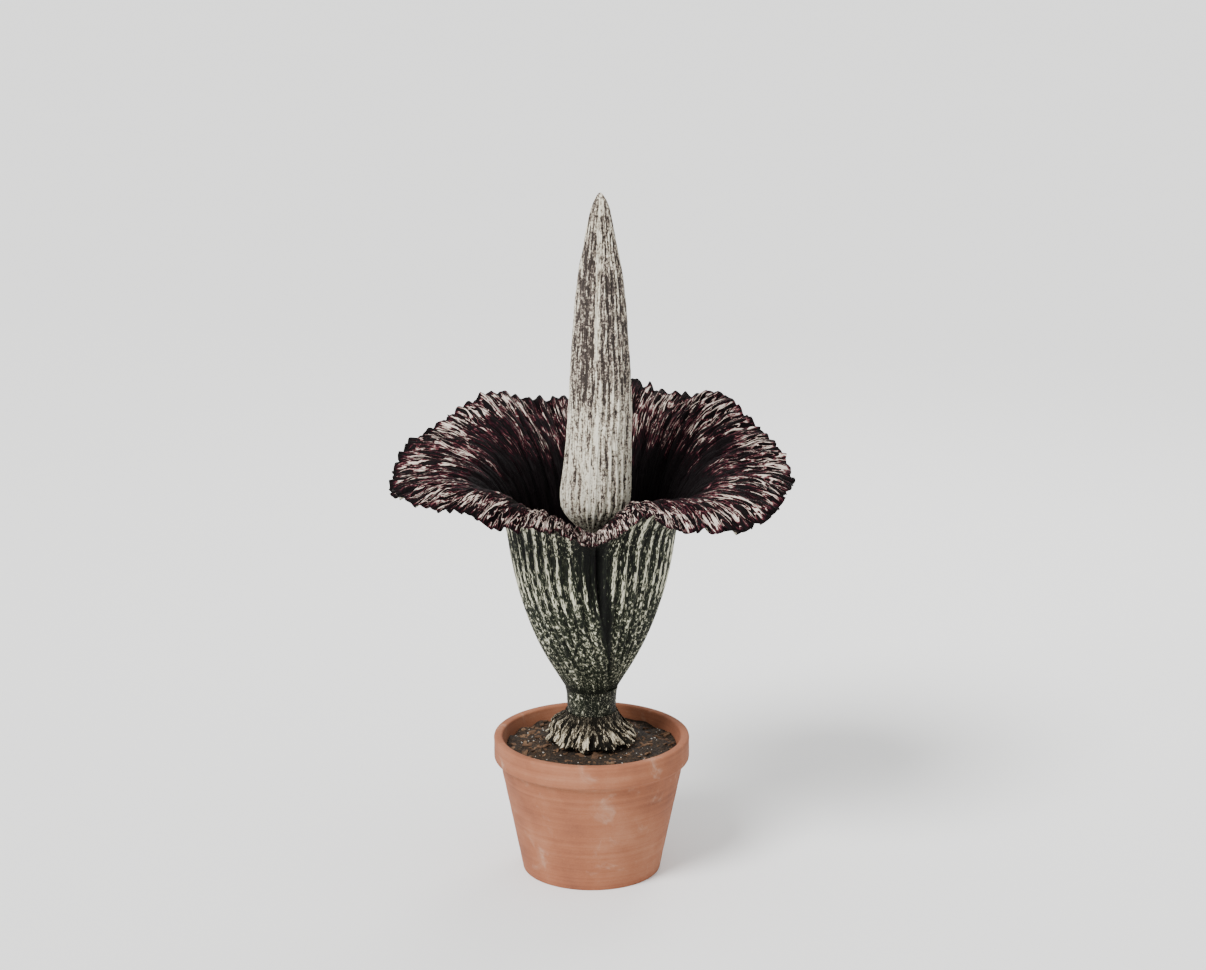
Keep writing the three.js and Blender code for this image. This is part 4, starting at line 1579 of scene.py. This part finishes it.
        group = piece.vertex_groups.new(name="wall")
        for i, wall in enumerate(np.interp(stations, (0, 1, 2), self.wall)):
            group.add(np.flatnonzero(row == i).tolist(), wall / self.wall[0], "REPLACE")
        for finish in (SpatheOutside(), SpatheInside()):
            piece.data.materials.append(finish.material)
        apply_modifier(piece, "SOLIDIFY", thickness=self.wall[0] * MM, offset=0,
                       vertex_group="wall", material_offset=1, material_offset_rim=1)
        dress(piece, None, "spathe", crease=60)


@dataclass
class FlowerBand:
    """A band of small flowers in staggered rows, which crowd round a core on the spadix.

    Its foot is a height above the pot's underside.
    """

    foot: float
    name: str
    node: str
    slot: Slot
    finish: type[Finish]
    height: float
    core: float
    reach: float
    rows: int
    per_row: int
    seed: int
    core_row: float = 8
    core_sides: int = 64

    def flower(self) -> Piece:
        """Model one flower."""
        raise NotImplementedError

    def spot(self, row: int, degrees: float, draw: np.random.Generator) -> Matrix:
        """Return where the flower of a row at an angle goes, with some chance in it."""
        raise NotImplementedError

    @property
    def top(self) -> float:
        """The height of its upper end."""
        return self.foot + self.height

    def build(self) -> None:
        """Build the band."""
        draw = np.random.default_rng(self.seed)
        spots = []
        for row in range(self.rows):
            for i in range(self.per_row):
                degrees = FULL_TURN * (i + (row % 2) / 2) / self.per_row
                spots.append((0, self.spot(row, degrees, draw)))
        flowers = scattered("flowers", [self.flower()], spots)
        core = turned(self.name, divided([
            (self.core / 2, self.foot), (self.core, self.foot), (self.core, self.top),
            (self.core / 2, self.top)], self.core_row), self.core_sides)
        band = joined([core, flowers])
        x, y, _ = places(band).T / MM
        record(band, reach=np.clip((np.hypot(x, y) - self.core) / (self.reach - self.core), 0, 1))
        dress(band, self.finish(), self.node, crease=50)


@dataclass
class PistillateBand(FlowerBand):
    """The lower band: ovaries, each with a style and a stigma.

    A step of the style is a share of its length and a change of girth. The tilt is in radians.
    """

    foot: float = SOIL_LINE + SPATHE_FOOT
    name: str = "pistillate_band"
    node: str = "pistillate_flowers"
    slot: Slot = Slot.PISTILLATE
    finish: type[Finish] = PistilSkin
    height: float = 164
    core: float = 40
    reach: float = 57
    rows: int = 15
    per_row: int = 32
    seed: int = 3
    sunk: float = 1.5
    ovary_radius: float = 4.6
    ovary_length: float = 7
    margin: float = 1
    swing: float = 1
    tilt: Pair = (0.054, 0.126)
    style: tuple[Pair, ...] = ((0.12, 0.45), (0.66, 0.9), (0.06, 2.0), (0.16, 0.7))

    def flower(self) -> Piece:
        """Model a pistil, which stands on Z.

        Returns:
            The pistil.
        """
        root = self.core - self.sunk
        shoulder = root + self.ovary_length
        flower = primitive("pistil", bpy.ops.mesh.primitive_cone_add, vertices=8,
                           radius1=self.ovary_radius, radius2=self.ovary_radius / 2,
                           depth=self.ovary_length, location=(0, 0, (root + shoulder) / 2),
                           end_fill_type="TRIFAN")
        with editing(flower, "FACE") as mesh:
            for face in mesh.faces:
                face.select_set(face.calc_center_median().z > shoulder - 0.1)
            for length, girth in self.style:
                bpy.ops.mesh.extrude_region_move(
                    TRANSFORM_OT_translate={"value": (0, 0, length * (self.reach - shoulder))})
                bpy.ops.transform.resize(value=(girth, girth, 1), center_override=(0, 0, 0))
        flower.data.transform(Matrix.Scale(MM, 4))
        return flower

    def spot(self, row: int, degrees: float, draw: np.random.Generator) -> Matrix:
        """Lay a pistil outwards, tipped up a little.

        Args:
            row: Its row, from below.
            degrees: Its angle from the front.
            draw: The seeded source of chance.

        Returns:
            Where it goes.
        """
        first = self.ovary_radius + self.margin
        pitch = (self.height - 2 * first) / (self.rows - 1)
        turn = spun(degrees + draw.uniform(-self.swing, self.swing), "Z")
        lay = Matrix.Rotation(math.pi / 2 - draw.uniform(*self.tilt), 4, "X")
        return Matrix.Translation((0, 0, (self.foot + first + pitch * row) * MM)) @ turn @ lay


@dataclass
class StaminateBand(FlowerBand):
    """The upper band, paved with anthers."""

    name: str = "staminate_band"
    node: str = "staminate_flowers"
    slot: Slot = Slot.STAMINATE
    finish: type[Finish] = AntherSkin
    height: float = 140
    core: float = 43
    reach: float = 49
    rows: int = 22
    per_row: int = 44
    seed: int = 4
    anther_length: float = 13.2
    touch_radius: float = 46
    set_in: Pair = (-1.6, -0.4)
    bevel: float = 0.26

    def flower(self) -> Piece:
        """Model an anther.

        Returns:
            The anther.
        """
        anther = primitive("anther", bpy.ops.mesh.primitive_cube_add, size=1)
        bevel_all(anther, self.bevel)
        width = 2 * math.pi * self.touch_radius / self.per_row
        size = Vector((width, self.anther_length, self.height / self.rows)) * MM
        anther.data.transform(Matrix.Diagonal((*size, 1)))
        return anther

    def spot(self, row: int, degrees: float, draw: np.random.Generator) -> Matrix:
        """Set an anther in the band, more or less deep.

        Args:
            row: Its row, from below.
            degrees: Its angle from the front.
            draw: The seeded source of chance.

        Returns:
            Where it goes.
        """
        out = self.core + draw.uniform(*self.set_in)
        place = polar(out, degrees, self.foot + self.height / self.rows * (row + 0.5))
        return Matrix.Translation(Vector(place) * MM) @ spun(degrees, "Z")


@dataclass
class Appendix:
    """The spadix's fluted appendix, which leans to the right as it rises and then stands upright.

    A station is a height and a radius. Its foot is a height above the pot's underside. A pair is
    where something starts to show, and where it shows fully: heights, but radii for the calm pole.
    """

    foot: float
    foot_radius: float = 38
    stations: tuple[Pair, ...] = (
        (THROAT, 33), (680, 42), (702, 64), (726, 86), (754, 101), (790, 105), (923, 97),
        (1077, 92), (1199, 86), (1289, 80), (1380, 73), (1469, 62), (1529, 49), (1588, 39),
        (1647, 28), (1684, 15))
    tip: float = 1698
    tip_radius: float = 4
    lean: float = 27
    lean_ends: float = 1120
    flutes: int = 30
    flute_depth: float = 3
    tip_wrinkles: Pair = (1560, 1690)
    # A painted highlight runs up a ridge near the front and painted shade lies on the left side; the
    # skin is also darker above and lighter again near the tip.
    calm_pole: Pair = (2, 24)
    highlight_ridge: float = -7
    highlight_width: float = 4.5
    highlight_from: Pair = (820, 1060)
    left_shade_from: Pair = (1020, 1180)
    dark_from: Pair = (960, 1180)
    light_from: Pair = (1450, 1640)
    sides: int = 330
    row_height: float = 8

    def outline(self) -> Array:
        """Smooth the outline that the stations give.

        Returns:
            Radii and absolute heights.
        """
        foot = (self.foot - SOIL_LINE, self.foot_radius)
        drawn = np.array([foot, *self.stations, (self.tip, self.tip_radius)])
        heights = divided([(0, height) for height in drawn[:, 0]], self.row_height)[:, 1]
        radii = np.interp(heights, *drawn.T)
        soft = np.convolve(np.pad(radii, 2, mode="edge"), np.array([1, 3, 4, 3, 1]) / 12, "valid")
        soft[0], soft[-1] = radii[0], radii[-1]
        return np.stack([soft, SOIL_LINE + heights], axis=1)

    def relief(self, skin: Skin) -> Array:
        """Flute and wrinkle the skin, less at the foot and the tip.

        Args:
            skin: The points of its skin.

        Returns:
            How far each stands out.
        """
        h = skin.height - SOIL_LINE
        angle = np.radians(skin.degrees)
        x, y = np.sin(angle), np.cos(angle)
        turn = self.flutes * skin.degrees / FULL_TURN
        stray = 0.55 * rough(x * 2.1, y * 2.1, h / 210) + 0.12 * rough(x * 5, y * 5, h / 60)
        flutes = self.flute_depth * 0.8 * rib(turn + stray, 1.7)
        furrows = 0.9 * rib(3 * turn + 1.7 * stray, 1.3)
        wrinkles = 1.3 * rough(x * 9, y * 9, h / 46) + 0.8 * rough(x * 22, y * 22, h / 18)
        near_tip = 1.5 * ramp(h, *self.tip_wrinkles) * rough(x * 4, y * 4, h / 22)
        grown = ramp(h, THROAT, THROAT + 64) * ramp(skin.radius, self.tip_radius, 50)
        out = flutes * grown + (furrows + wrinkles) * mix(0.35, 1, grown) + near_tip
        return out * ramp(skin.radius, *self.calm_pole)

    def build(self) -> None:
        """Build the appendix."""
        outline = self.outline()
        piece = turned("fluted_appendix", outline, self.sides, self.relief)
        x, y, z = (places(piece) / MM).T
        h = z - SOIL_LINE
        crest = (np.hypot(x, y) - np.interp(z, outline[:, 1], outline[:, 0])) / self.flute_depth
        off_ridge = past(np.degrees(np.arctan2(x, -y)), self.highlight_ridge)
        # pale is a painted highlight up a ridge near the front, grey is painted shade on the left side,
        # and the skin is made darker above and lighter again near the tip.
        pale = np.exp(-(off_ridge / self.highlight_width) ** 2) * ramp(h, *self.highlight_from)
        grey = swell(-off_ridge, 2, 14, 60, 90) * ramp(h, *self.left_shade_from)
        dark, light = ramp(h, *self.dark_from), ramp(h, *self.light_from)
        shade = dark - 0.35 * light - 1.3 * pale + 0.3 * grey
        record(piece, crest=np.clip(crest, -1.5, 1.5), shade=shade)
        x = x + self.lean * ramp(z, self.foot, SOIL_LINE + self.lean_ends)
        reshape(piece, np.stack([x, y, z], axis=1))
        dress(piece, SpadixSkin(), "spadix_appendix", crease=70)


@dataclass
class Studio:
    """A plain pale floor, soft lights with the key from the upper left, and the camera. Metres."""

    azimuth: float = 0
    elevation: float = 15
    target: Triple = (0.035, 0, 1.219)
    distance: float = 8.54
    lens: float = 85
    floor_size: float = 120
    sun: Triple = (-0.62, -0.70, 0.95)
    sun_distance: float = 5
    sun_strength: float = 4.6
    sun_angle: float = 24
    back_light: Triple = (1.8, 4.2, 4.6)
    back_light_size: float = 2.4
    back_light_watts: float = 120
    sky: Colour = (1.0, 1.0, 1.0)
    sky_strength: float = 0.92

    def stand(self, name: str, add: Callable, back: Vector, **settings: object) -> Piece:
        """Stand a light or a camera in the studio.

        Args:
            name: Its name.
            add: The operator that adds it.
            back: The direction that it turns its back to.
            settings: Its kind and place.

        Returns:
            The light or the camera.
        """
        add(**settings)
        made = bpy.context.active_object
        made.name = name
        made.rotation_euler = back.to_track_quat("Z", "Y").to_euler()
        return made

    def light(self) -> None:
        """Set the sun, the back light and the sky."""
        sun, place, target = (Vector(point) for point in (self.sun, self.back_light, self.target))
        key = self.stand("key_light", bpy.ops.object.light_add, sun, type="SUN",
                         location=sun * self.sun_distance)
        key.data.energy = self.sun_strength
        key.data.angle = math.radians(self.sun_angle)
        back = self.stand("back_light", bpy.ops.object.light_add, place - target, type="AREA",
                          location=place)
        back.data.size = self.back_light_size
        back.data.energy = self.back_light_watts
        world = bpy.data.worlds.new("sky")
        world.use_nodes = True
        backdrop = world.node_tree.nodes["Background"]
        backdrop.inputs["Color"].default_value = (*self.sky, 1)
        backdrop.inputs["Strength"].default_value = self.sky_strength
        bpy.context.scene.world = world

    def build(self) -> None:
        """Set the floor, the lights, the sky and the camera."""
        floor = primitive("floor", bpy.ops.mesh.primitive_plane_add, size=self.floor_size)
        floor.data.materials.append(StudioFloor().material)
        self.light()
        up, side = math.radians(self.elevation), math.radians(self.azimuth)
        back = Vector((math.sin(side) * math.cos(up), -math.cos(side) * math.cos(up), math.sin(up)))
        camera = self.stand("camera", bpy.ops.object.camera_add, back,
                            location=Vector(self.target) + back * self.distance)
        camera.data.lens = self.lens
        camera.data.clip_end = self.floor_size
        bpy.context.scene.camera = camera


def main() -> None:
    """Build every piece round the frame, in order."""
    logging.basicConfig(level=logging.INFO, format="%(name)s %(message)s")
    pot, tuber = ClayPot(), Tuber()
    pistils = PistillateBand()
    anthers = StaminateBand(foot=pistils.top + SEAT)
    for part in (pot, tuber, Soil(pot, tuber), Peduncle(tuber), Sheaths(), Spathe(), pistils, anthers,
                 Appendix(foot=anthers.top + SEAT), Studio()):
        part.build()


if __name__ == "__main__":
    main()
